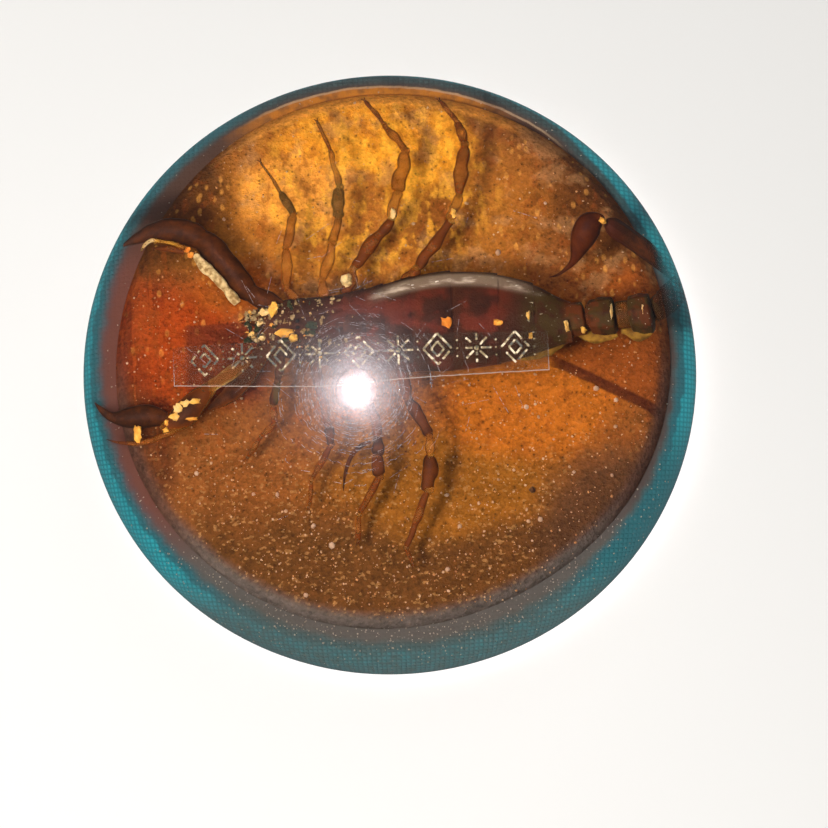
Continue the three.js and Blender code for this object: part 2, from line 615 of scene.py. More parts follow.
@dataclass(frozen=True)
class DriedShell:
    """Chitin coloured along a ramp by the mesh's own tone, mottled, and clearer where it is pale."""

    name: str
    stops: tuple[tuple[float, Colour], ...]
    mottle: float = 0.25
    mottle_scale: float = 1.6
    roughness: float = 0.4
    specular: float = 0.03
    grain_depth: float = 0.05
    clear: float = 0.0
    aged: bool = True
    # Whether to paint the sheen of an air film along the +Y flank.
    film: bool = False
    greens: tuple[tuple[Pair, Pair], ...] = (
        ((-4.6, 16.3), (1.4, 2.9)),
        ((-10.1, 16.6), (1.3, 2.2)),
        ((-11.5, -4.4), (0.9, 1.6)),
    )
    thin_x: Pair = (28.6, 30.4)
    thin: float = 0.88
    red: Colour = (0.150, 0.020, 0.008)
    olive: Colour = (0.042, 0.026, 0.006)
    warm: Colour = (0.085, 0.019, 0.005)
    mould: Colour = (0.070, 0.060, 0.014)
    bulb: Colour = (0.060, 0.008, 0.003)
    painted_glint: Colour = (0.60, 0.52, 0.34)
    air: Colour = (0.22, 0.150, 0.095)
    pale_air_sheen: Colour = (0.60, 0.48, 0.36)
    air_glint: Colour = (0.85, 0.76, 0.62)

    def material(self) -> Material:
        """Builds the shell."""
        board = Board(self.name)
        mottling = (board.noise(self.mottle_scale, 4.0) - 0.5) * self.mottle
        fine = board.noise(9.0, 2.0)
        tone = board.tone() + mottling + (fine - 0.5) * 0.12
        board.colour = board.ramp(tone, self.stops)
        if self.aged:
            self._age(board)
        if self.film:
            self._air_film_and_sheen(board)
        finish = {}
        if self.clear:
            bend = board.x.rise(*self.thin_x)
            finish["Alpha"] = (1 - tone.rise(0.85, 0.35) * self.clear) * (1 - bend * self.thin)
        return board.surface(
            Base_Color=board.colour,
            Roughness=fine * 0.2 + self.roughness,
            Specular_IOR_Level=self.specular,
            Normal=board.bump(board.cells(5.0)[0], self.grain_depth),
            **finish,
        )

    def _age(self, board: Board) -> None:
        """Turns the rear olive, reddens the trunk, greens a few spots and adds painted glints at both ends.

        Args:
            board: the material that is being made.
        """
        x, y = board.x, board.y
        low = y.rise(6.2, 5.0) * y.rise(-3.8, -2.8)
        trunk = x.rise(-8.0, -3.0) * x.rise(14.5, 10.5) * low
        board.lay(self.red, board.noise(0.4).rise(0.44, 0.6) * trunk * 0.5)
        board.lay(self.olive, x.rise(12.5, 16.0) * low * board.noise(0.8).rise(0.3, 0.6) * 0.75)
        board.lay(self.warm, x.rise(18.0, 19.0) * low * board.noise(0.45).rise(0.5, 0.58) * 0.8)
        for centre, reach in self.greens:
            board.lay(self.mould, (board.patch(centre, reach) * 2.0).least(1.0) * 0.5)
        board.lay(self.bulb, (board.patch((22.0, 11.0), (5.0, 6.0)) * 2.0).least(1.0) * 0.4)
        # Painted highlights: pale streaks at both ends of the body.
        ends = (x.rise(13.5, 15.0) + x.rise(-9.5, -11.0)) * low
        streaks = board.noise(1.7, 3.0, (1.3, 2.0, 1.0)).rise(0.68, 0.73)
        board.lay(self.painted_glint, streaks * ends * 0.6)

    def _air_film_and_sheen(self, board: Board) -> None:
        """Lays a grey band along the +Y flank where the resin has let go and left a film of air, with paler
        clouds and bright glints on its crest: painted sheen of that film.

        Args:
            board: the material that is being made.
        """
        x, y = board.x, board.y
        off = x - 7.4
        inset = 7.9 - off * off * 0.0205 - y
        ends = x.rise(-3.0, 2.0) * x.rise(17.0, 11.5)
        band = inset.rise(0.1, 0.7) * inset.rise(2.3, 1.4) * ends * board.z.rise(8.8, 9.3)
        # Painted sheen: the grey band, its paler clouds and its bright glints.
        board.lay(self.air, band * 0.85)
        crest = inset.rise(0.6, 1.1) * inset.rise(1.9, 1.4)
        cloudy = board.noise(0.7, 4.0, (0.5, 1.4, 1.0))
        board.lay(self.pale_air_sheen, band * cloudy.rise(0.46, 0.66) * crest)
        glints = board.noise(1.5, 3.0, (0.8, 2.2, 1.0))
        board.lay(self.air_glint, band * glints.rise(0.65, 0.71) * crest)


@dataclass(frozen=True)
class Mineral:
    """Opaque stone or dried flesh with cloudy mottling between two colours."""

    name: str
    pale: Colour
    deep: Colour
    scale: float = 1.2
    roughness: float = 0.6

    def material(self) -> Material:
        """Builds the stuff."""
        board = Board(self.name, self.pale)
        board.lay(self.deep, board.noise(self.scale, 4.0).rise(0.32, 0.68))
        return board.surface(
            Base_Color=board.colour,
            Roughness=self.roughness,
            Specular_IOR_Level=0.05,
            Normal=board.bump(board.noise(self.scale * 5), 0.08),
        )


@dataclass(frozen=True)
class ClearFilm:
    """Thin film that greys what lies behind it a little, with a whiter cut edge."""

    colour: Colour = (0.090, 0.056, 0.036)
    edge_colour: Colour = (0.60, 0.50, 0.42)
    alpha: float = 0.11

    def material(self) -> Material:
        """Builds the film."""
        board = Board("label_film", self.colour)
        edge = board.tone()
        board.lay(self.edge_colour, edge)
        return board.surface(
            Base_Color=board.colour,
            Roughness=0.6,
            Specular_IOR_Level=0.03,
            Alpha=edge * 0.35 + (board.noise(0.35, 4.0) + 0.5) * self.alpha,
        )


@dataclass(frozen=True)
class PressedFoil:
    """Gold foil, rubbed dark and thin in places, with pale painted glints that are commoner towards +X."""

    gold: Colour = (0.17, 0.125, 0.045)
    pale: Colour = (0.52, 0.45, 0.29)
    worn: Colour = (0.030, 0.032, 0.013)

    def material(self) -> Material:
        """Builds the foil."""
        board = Board("gold_foil", self.gold)
        rubbed = board.noise(1.5, 5.0) + board.x.rise(-16.0, 6.0) * 0.07
        # Pale patches are painted glints; dark patches are rubbed wear.
        board.lay(self.pale, rubbed.rise(0.57, 0.66))
        board.lay(self.worn, rubbed.rise(0.54, 0.47))
        return board.surface(
            Base_Color=board.colour,
            Metallic=rubbed.rise(0.44, 0.54) * 0.3,
            Roughness=0.5,
        )


@dataclass(frozen=True)
class Scuff:
    """The whitish bottom of a fine scratch: partly its own colour, partly a painted highlight."""

    colour: Colour = (0.62, 0.57, 0.60)
    alpha: float = 0.5

    def material(self) -> Material:
        """Builds the scuff."""
        board = Board("scuff")
        broken = board.noise(2.2).rise(0.3, 0.62)
        return board.surface(Base_Color=self.colour, Roughness=0.6, Alpha=broken * self.alpha)


@dataclass(frozen=True)
class PaleFloor:
    """A plain pale studio floor with the faintest cloudiness."""

    colour: Colour = (0.86, 0.86, 0.85)

    def material(self) -> Material:
        """Builds the floor."""
        board = Board("pale_floor")
        cloudy = board.noise(0.004, 2.0)
        return board.surface(Base_Color=board.dim(self.colour, cloudy * 0.04 + 0.98), Roughness=0.7)


SHELL_STOPS = (
    (0.0, (0.74, 0.52, 0.25)),
    (0.22, (0.46, 0.22, 0.04)),
    (0.45, (0.17, 0.055, 0.010)),
    (0.7, (0.060, 0.016, 0.006)),
    (1.0, (0.020, 0.007, 0.004)),
)
LIMB_STOPS = (
    (0.0, (0.74, 0.50, 0.22)),
    (0.2, (0.54, 0.25, 0.025)),
    (0.45, (0.29, 0.080, 0.006)),
    (0.7, (0.115, 0.026, 0.004)),
    (1.0, (0.030, 0.009, 0.003)),
)
TISSUE_STOPS = (
    (0.0, (0.74, 0.52, 0.23)),
    (0.5, (0.74, 0.38, 0.055)),
    (1.0, (0.62, 0.18, 0.02)),
)


class Palette(Enum):
    """The finishes that more than one piece shares."""

    BODY = DriedShell("body_shell", SHELL_STOPS, film=True)
    LIMB = DriedShell("limb_shell", LIMB_STOPS, 0.5, 1.0, grain_depth=0.015, clear=0.5)
    TISSUE = DriedShell("dry_tissue", TISSUE_STOPS, 0.9, 1.7, specular=0.05, aged=False)
    SCALE = Mineral("dark_scale", (0.012, 0.022, 0.012), (0.040, 0.040, 0.014), 1.5)
    MARROW = Mineral("old_flesh", (0.66, 0.47, 0.21), (0.24, 0.13, 0.04), 2.0)
    CRUMB = Mineral("flesh_crumb", (0.46, 0.32, 0.15), (0.18, 0.10, 0.03), 1.9)
    AMBER_SKIN = Mineral("amber_skin", (0.26, 0.130, 0.014), (0.13, 0.055, 0.008), 1.2)
    EYE = Mineral("eye", (0.01, 0.008, 0.007), (0.02, 0.014, 0.01), 2.0, 0.12)
    PEBBLE = Mineral("pebble", (0.52, 0.35, 0.22), (0.36, 0.20, 0.11), 0.9)
    PALE_GRIT = Mineral("pale_grit", (0.52, 0.34, 0.19), (0.34, 0.19, 0.09), 0.6)
    GREY_GRIT = Mineral("grey_grit", (0.36, 0.30, 0.23), (0.20, 0.16, 0.12), 0.6)
    AMBER_GRIT = Mineral("amber_grit", (0.50, 0.24, 0.08), (0.28, 0.11, 0.035), 0.6)
    DARK_GRIT = Mineral("dark_grit", (0.05, 0.022, 0.012), (0.12, 0.05, 0.02), 0.8)

    def material(self) -> Material:
        """The finish's material, built the first time that it is asked for."""
        made = bpy.data.materials.get(self.value.name)
        return made if made else self.value.material()


# ---- mesh making


@dataclass(frozen=True)
class Stop:
    """One place along a swept limb, its half width there and the tone of its shell."""

    place: Place
    half_width: float
    tone: float


def limb_run(*rows: tuple[float, float, float, float, float]) -> tuple[Stop, ...]:
    """A run of stops from rows of x, y, z, half width and tone."""
    return tuple(Stop(row[:3], row[3], row[4]) for row in rows)


class Draft:
    """Points, faces and tones in millimetres, gathered before they become one mesh."""

    def __init__(self) -> None:
        """Starts empty."""
        self.points: list[Vector] = []
        self.tones: list[float] = []
        self.faces: list[tuple[int, ...]] = []

    def point(self, place: Sequence[float], tone: float = 0.0) -> int:
        """Adds a point.

        Args:
            place: where it is.
            tone: how dark it is there.

        Returns:
            Its number.
        """
        self.points.append(Vector(place))
        self.tones.append(tone)
        return len(self.points) - 1

    def ring(self, places: Sequence[Sequence[float]], tones: Sequence[float] | float = 0.0) -> list[int]:
        """Adds a row of points.

        Args:
            places: where they are.
            tones: how dark each one is, or all of them.

        Returns:
            Their numbers.
        """
        if isinstance(tones, (int, float)):
            tones = [tones] * len(places)
        return [self.point(place, tone) for place, tone in zip(places, tones)]

    def skin(self, first: list[int], second: list[int], closed: bool = True) -> None:
        """Joins two rows of points with quads.

        Args:
            first: one row's numbers.
            second: the other's.
            closed: whether the rows are rings.
        """
        count = len(first)
        for index in range(count if closed else count - 1):
            after = (index + 1) % count
            self.faces.append((first[index], first[after], second[after], second[index]))

    def skins(self, rows: Sequence[list[int]], closed: bool = True) -> None:
        """Joins each row of points to the next."""
        for first, second in zip(rows, rows[1:]):
            self.skin(first, second, closed)

    def fan(self, ring: list[int], tip: int) -> None:
        """Closes a ring to one point."""
        for index, start in enumerate(ring):
            self.faces.append((start, ring[(index + 1) % len(ring)], tip))

    def finish(self, name: str, material: Material, sharp: float = 50.0) -> Object:
        """Makes the mesh object.

        Args:
            name: the piece's name.
            material: its finish.
            sharp: edges bent by more than this many degrees stay sharp.

        Returns:
            The object, in metres, with its faces turned outwards.
        """
        mesh = bpy.data.meshes.new(name)
        mesh.from_pydata([point * MM for point in self.points], [], self.faces)
        tone = mesh.attributes.new("tone", "FLOAT", "POINT")
        tone.data.foreach_set("value", self.tones)
        whole = bmesh.new()
        whole.from_mesh(mesh)
        bmesh.ops.recalc_face_normals(whole, faces=whole.faces)
        whole.to_mesh(mesh)
        whole.free()
        mesh.shade_smooth()
        mesh.set_sharp_from_angle(angle=radians(sharp))
        mesh.materials.append(material)
        piece = bpy.data.objects.new(name, mesh)
        bpy.context.scene.collection.objects.link(piece)
        return piece

    # Shapes that several pieces are made of.

    def blob(self, centre: Place, half: Place, tone: float, seed: float, rough: float = 0.18) -> None:
        """Adds an uneven rounded lump.

        Args:
            centre: its middle.
            half: its half sizes.
            tone: how dark it is.
            seed: which lump of all it is.
            rough: how uneven it is.
        """
        rings, sides = 6, 10
        rows = []
        for step in range(1, rings):
            down = pi * step / rings
            row = []
            for side in range(sides):
                around = TURN * side / sides
                level = sin(down)
                way = Vector((level * cos(around), level * sin(around), cos(down)))
                reach = 1 + rough * noise.noise(way * 1.7 + Vector((seed, -seed, seed * 0.5)))
                row.append([centre[i] + way[i] * half[i] * reach for i in range(3)])
            rows.append(self.ring(row, tone))
        top = self.point((centre[0], centre[1], centre[2] + half[2]), tone)
        low = self.point((centre[0], centre[1], centre[2] - half[2]), tone)
        self.fan(rows[0], top)
        self.skins(rows)
        self.fan(rows[-1], low)

    def sweep(
        self,
        stops: Sequence[Stop],
        steps: int = 6,
        sides: int = 10,
        flat: float = 0.85,
        keel: float = 0.0,
        ridges: int = 0,
        ragged: float = 0.0,
    ) -> None:
        """Adds a closed limb along a smooth run of stops.

        Args:
            stops: places, half widths and tones from one end to the other.
            steps: rings between one stop and the next.
            sides: points round each ring.
            flat: height over width.
            keel: how much darker the two side edges are.
            ridges: raised lines along the limb.
            ragged: how unevenly it has shrunk in drying.
        """
        rows = len(stops) * steps - steps
        spine, widths, tones = [], [], []
        for step in range(rows + 1):
            along = step / steps
            centre = Vector([curve(along, [stop.place[i] for stop in stops]) for i in range(3)])
            width = max(curve(along, [stop.half_width for stop in stops]), 0.01)
            swell = noise.noise(centre * 0.9) * ragged
            spine.append(centre + noise.noise_vector(centre * 0.55) * ragged * width)
            widths.append(width * (1 + swell))
            tones.append(curve(along, [stop.tone for stop in stops]))
        rings = []
        side_way = None
        for step, centre in enumerate(spine):
            ahead = spine[min(step + 1, rows)] - spine[max(step - 1, 0)]
            ahead.normalize()
            lead = ahead.cross(Vector((0, 0, 1)))
            if lead.length < 0.25 and side_way is not None:
                lead = side_way - ahead * side_way.dot(ahead)
            elif lead.length < 0.25:
                lead = Vector((1, 0, 0))
            lead.normalize()
            side_way = lead
            over = lead.cross(ahead)
            places, shades = [], []
            for side in range(sides):
                around = TURN * side / sides
                across, upward = cos(around), sin(around)
                reach = widths[step] * (1 + 0.09 * abs(cos(around * ridges / 2)) ** 6 if ridges else 1)
                places.append(centre + lead * across * reach + over * upward * reach * flat)
                shades.append(tones[step] + keel * abs(across) ** 5)
            rings.append(self.ring(places, shades))
        self.skins(rings)
        self.fan(rings[0], self.point(spine[0], tones[0]))
        self.fan(rings[-1], self.point(spine[-1], tones[-1]))

    def spindle(
        self,
        start: Place,
        end: Place,
        half_widths: tuple[float, float, float],
        tone: float,
        collar: float,
        bow: float = 0.0,
        **shape: float,
    ) -> None:
        """Adds one limb segment with rounded ends.

        Args:
            start: its near end.
            end: its far end.
            half_widths: near the start, at the middle and near the end.
            tone: how dark its shell is.
            collar: how much darker its two ends are.
            bow: how far its middle is raised.
            shape: the sweep's own sides, flat, keel, ridges and ragged.
        """
        near, far = Vector(start), Vector(end)
        middle = near.lerp(far, 0.5) + Vector((0, 0, bow))
        shy = 0.08
        self.sweep(
            [
                Stop(near, half_widths[0] * 0.55, tone + collar),
                Stop(near.lerp(middle, 2 * shy), half_widths[0], tone + collar * 0.7),
                Stop(near.lerp(middle, 0.55), (half_widths[0] + half_widths[1]) / 2, tone),
                Stop(middle, half_widths[1], tone - 0.06),
                Stop(middle.lerp(far, 0.45), (half_widths[1] + half_widths[2]) / 2, tone),
                Stop(middle.lerp(far, 1 - 2 * shy), half_widths[2], tone + collar * 0.7),
                Stop(far, half_widths[2] * 0.55, tone + collar),
            ],
            steps=3,
            **shape,
        )

    def plate(
        self,
        place: Callable[[float, float], Vector],
        tone: Callable[[float, float], float],
        rows: int,
        columns: int,
        thickness: float,
        inside: Vector,
    ) -> None:
        """Adds a closed curved plate.

        Args:
            place: the outer surface, for along and across from 0 to 1.
            tone: how dark it is there.
            rows: steps along.
            columns: steps across.
            thickness: how far the inner surface lies towards the inside point's line.
            inside: a point under the plate, whose X is ignored.
        """
        outer, inner = [], []
        for row in range(rows + 1):
            outer_row, inner_row = [], []
            for column in range(columns + 1):
                along, across = row / rows, column / columns
                spot = place(along, across)
                inward = Vector((0, inside.y - spot.y, inside.z - spot.z)).normalized()
                outer_row.append(self.point(spot, tone(along, across)))
                inner_row.append(self.point(spot + inward * thickness, tone(along, across)))
            outer.append(outer_row)
            inner.append(inner_row)
        self.skins(outer, closed=False)
        self.skins(inner, closed=False)
        self.skin(outer[0], inner[0], closed=False)
        self.skin(outer[-1], inner[-1], closed=False)
        self.skin([row[0] for row in outer], [row[0] for row in inner], closed=False)
        self.skin([row[-1] for row in outer], [row[-1] for row in inner], closed=False)


def curve(along: float, values: Sequence[float]) -> float:
    """Reads a smooth curve through evenly spaced values.

    Args:
        along: how far along, counted in values.
        values: the values.

    Returns:
        The value there, by a Catmull-Rom curve.
    """
    last = len(values) - 1
    index = min(int(along), last - 1)
    part = along - index
    before, here = values[max(index - 1, 0)], values[index]
    after, beyond = values[index + 1], values[min(index + 2, last)]
    slope_here, slope_after = (after - before) / 2, (beyond - here) / 2
    return (
        (2 * part**3 - 3 * part**2 + 1) * here
        + (part**3 - 2 * part**2 + part) * slope_here
        + (-2 * part**3 + 3 * part**2) * after
        + (part**3 - part**2) * slope_after
    )


def dress(draft: Draft, name: str, finish: Palette, slot: str, sharp: float = 50.0) -> Object:
    """Makes a draft into a piece with a shared finish and presents it."""
    return present(draft.finish(name, finish.material(), sharp), slot)


def present(piece: Object, slot: str, *nodes: str) -> Object:
    """Hangs a piece on the one body and hides the CAD nodes that it stands for.

    Args:
        piece: the finished object.
        slot: the record's material slot; not used.
        nodes: CAD nodes that it replaces.

    Returns:
        The piece.
    """
    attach(piece, BODY)
    if nodes:
        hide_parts(*nodes)
    log.info("%s: %d faces", piece.name, len(piece.data.polygons))
    return piece


# ---- the casting


@dataclass
class SandBed:
    """The thin poured bed of sand in the dome's underside."""

    radius: float = 27.6
    shift: Pair = (0.3, 0.9)
    waves: tuple[tuple[int, float, float], ...] = ((2, 0.22, 0.6), (3, 0.16, 2.1), (5, 0.1, 4.0))
    floor_z: float = 1.02
    top_z: float = 3.0
    slope: tuple[Pair, ...] = ((0.0, 1.1), (0.3, 1.9), (0.7, 2.45), (1.2, 2.8), (1.9, 3.0))
    sides: int = 480
    rim_rings: int = 12
    rings: int = 78
    rough: float = 0.11

    def rim(self, angle: float, grow: float = 0.0) -> Pair:
        """A point of the bed's wandering rim.

        Args:
            angle: the way from the bed's centre.
            grow: how far outside the rim.

        Returns:
            Its x and y.
        """
        reach = self.radius + grow
        for lobes, size, start in self.waves:
            reach += size * sin(lobes * angle + start)
        return reach * cos(angle) + self.shift[0], reach * sin(angle) + self.shift[1]

    def height(self, x: float, y: float) -> float:
        """The height of the sand's rough top, which slopes down at its rim.

        Args:
            x: the place across.
            y: the place along.

        Returns:
            Its z.
        """
        angle = atan2(y - self.shift[1], x - self.shift[0])
        inset = dist(self.rim(angle), self.shift) - dist((x, y), self.shift)
        level = self.slope[-1][1]
        for (near, low), (far, high) in zip(self.slope, self.slope[1:]):
            if inset < far:
                level = low + (high - low) * (inset - near) / (far - near)
                break
        broad = noise.noise(Vector((x, y, 0.0)) * 0.13) * 0.10
        grainy = noise.noise(Vector((x, y, 7.0)) * 1.9) * self.rough
        fine = noise.noise(Vector((x, y, 19.0)) * 4.1) * self.rough * 0.5
        return level + broad + grainy + fine

    def build(self) -> Object:
        """Builds the bed."""
        draft = Draft()
        centre = draft.point((*self.shift, self.height(*self.shift)))
        flat = 1 - self.slope[-1][0] / self.radius
        shares = [flat * ring / self.rings for ring in range(1, self.rings + 1)]
        shares += [flat + (1 - flat) * ring / self.rim_rings for ring in range(1, self.rim_rings + 1)]
        wall = [self.rim(TURN * side / self.sides) for side in range(self.sides)]
        rows = []
        for share in shares:
            row = []
            for edge in wall:
                x = self.shift[0] + (edge[0] - self.shift[0]) * share
                y = self.shift[1] + (edge[1] - self.shift[1]) * share
                row.append((x, y, self.height(x, y)))
            rows.append(draft.ring(row))
        draft.fan(rows[0], centre)
        draft.skins(rows)
        foot = draft.ring([(x, y, self.floor_z) for x, y in wall])
        draft.skin(rows[-1], foot)
        draft.fan(foot, draft.point((*self.shift, self.floor_z)))
        bed = draft.finish("sand_bed_grains", BondedSand().material(), sharp=80.0)
        return present(bed, "sand", "sand_bed")


@dataclass
class ResinDome:
    """The clear casting, with the pocket that the sand bed fills."""

    bed: SandBed
    radius: float = 37.99
    base_z: float = 1.0
    wall_height: float = 4.0
    height: float = 29.98
    foot_radius: float = 37.0
    foot_rounding: float = 0.6
    sink: float = 0.1
    bond: float = 0.15
    cover: float = 0.45
    sides: int = 192
    wall_steps: int = 10
    dome_steps: int = 72
    foot_steps: int = 6

    def surface_z(self, x: float, y: float) -> float:
        """The height of the domed top.

        Args:
            x: the place across.
            y: the place along.

        Returns:
            Its z.
        """
        share = min((x * x + y * y) / self.radius**2, 1.0)
        rise = (self.height - self.wall_height) * sqrt(1 - share)
        return self.base_z + self.wall_height + rise

    def profile(self) -> list[Pair]:
        """The outside from just under the crown down to the underside, as radius and height."""
        line = []
        for step in range(1, self.dome_steps):
            angle = pi / 2 * (1 - step / self.dome_steps)
            rise = (self.height - self.wall_height) * sin(angle)
            line.append((self.radius * cos(angle), self.base_z + self.wall_height + rise))
        low = self.foot_rounding
        for step in range(self.wall_steps, 0, -1):
            part = step / self.wall_steps
            reach = self.foot_radius + (self.radius - self.foot_radius) * sin(part * pi / 2)
            line.append((reach, self.base_z + low + (self.wall_height - low) * part))
        for step in range(self.foot_steps + 1):
            angle = pi / 2 * step / self.foot_steps
            reach = self.foot_radius - low * (1 - cos(angle))
            line.append((reach, self.base_z + low * (1 - sin(angle))))
        line.append((line[-1][0], self.base_z - self.sink))
        return line

    def build(self) -> Object:
        """Builds the dome."""
        draft = Draft()
        angles = [TURN * side / self.sides for side in range(self.sides)]
        rows = [
            draft.ring([(reach * cos(a), reach * sin(a), z) for a in angles])
            for reach, z in self.profile()
        ]
        pocket = [(self.bond, self.base_z - self.sink)]
        pocket += [(inset + self.bond, level - self.cover) for inset, level in self.bed.slope[1:]]
        for inset, z in pocket:
            rows.append(draft.ring([(*self.bed.rim(a, -inset), z) for a in angles]))
        draft.fan(rows[0], draft.point((0, 0, self.base_z + self.height)))
        draft.skins(rows)
        draft.fan(rows[-1], draft.point((*self.bed.shift, pocket[-1][1])))
        dome = draft.finish("resin_casting", ClearResin().material(), sharp=30.0)
        dome.visible_shadow = False
        return present(dome, "clear_resin", "resin_dome")


@dataclass
class BasePad:
    """The round woven pad: real raised threads where the clear margin shows them."""

    radius: float = 36.5
    inner_radius: float = 25.2
    thickness: float = 1.0
    pitch: float = 0.5
    rise: float = 0.045
    cloth: WovenCloth = WovenCloth()

    def build(self) -> Object:
        """Builds the pad."""
        step = self.pitch / 2
        count = int(self.radius / step) + 1
        draft = Draft()
        numbers: dict[tuple[int, int], int] = {}

        def corner(column: int, row: int) -> int:
            """A grid point, added when first asked for.

            Args:
                column: its place along X, in half threads.
                row: its place along Y.

            Returns:
                Its number.
            """
            if (column, row) not in numbers:
                x, y = column * step, row * step
                reach = hypot(x, y)
                wanted = min(max(reach, self.inner_radius), self.radius - 0.1)
                edge = 1.0 if abs(wanted - reach) < 1e-9 else 0.0
                x, y = x * wanted / reach, y * wanted / reach
                over = cos(pi * column / 2) * cos(pi * row / 2)
                z = self.thickness - self.rise + self.rise * over * edge
                numbers[column, row] = draft.point((x, y, z))
            return numbers[column, row]

        slack = step * 0.75
        for column in range(-count, count):
            for row in range(-count, count):
                reach = hypot((column + 0.5) * step, (row + 0.5) * step)
                if self.inner_radius - slack < reach < self.radius - 0.1 + slack * 0.5:
                    around = ((column, row), (column + 1, row), (column + 1, row + 1), (column, row + 1))
                    draft.faces.append(tuple(corner(*spot) for spot in around))
        pad = draft.finish("woven_pad", self.cloth.material(), sharp=80.0)
        self._close(pad)
        return present(pad, "pad_cloth", "base_pad")

    def _close(self, pad: Object) -> None:
        """Gives the woven ring its edge, its underside and its hidden middle.

        Args:
            pad: the piece, open at both rims.
        """
        whole = bmesh.new()
        whole.from_mesh(pad.data)
        bmesh.ops.dissolve_degenerate(whole, dist=1e-6, edges=whole.edges)
        open_edges = [edge for edge in whole.edges if edge.is_boundary]
        split = (self.radius + self.inner_radius) / 2 * MM
        outer = [edge for edge in open_edges if edge.verts[0].co.xy.length > split]
        inner = [edge for edge in open_edges if edge.verts[0].co.xy.length <= split]
        bmesh.ops.holes_fill(whole, edges=inner, sides=0)
        rim = outer
        for grow, z in ((0.1, self.thickness - 0.3), (0.1, 0.25), (-0.1, 0.0)):
            made = bmesh.ops.extrude_edge_only(whole, edges=rim)["geom"]
            rim = [item for item in made if isinstance(item, bmesh.types.BMEdge)]
            corners = {vert for edge in rim for vert in edge.verts}
            for vert in corners:
                reach = vert.co.xy.length
                vert.co.x *= (self.radius + grow) * MM / reach
                vert.co.y *= (self.radius + grow) * MM / reach
                vert.co.z = z * MM
            rim = [edge for edge in rim if edge.is_boundary]
        bmesh.ops.holes_fill(whole, edges=rim, sides=0)
        bmesh.ops.triangulate(whole, faces=[face for face in whole.faces if len(face.verts) > 4])
        bmesh.ops.recalc_face_normals(whole, faces=whole.faces)
        whole.to_mesh(pad.data)
        whole.free()
        pad.data.shade_smooth()


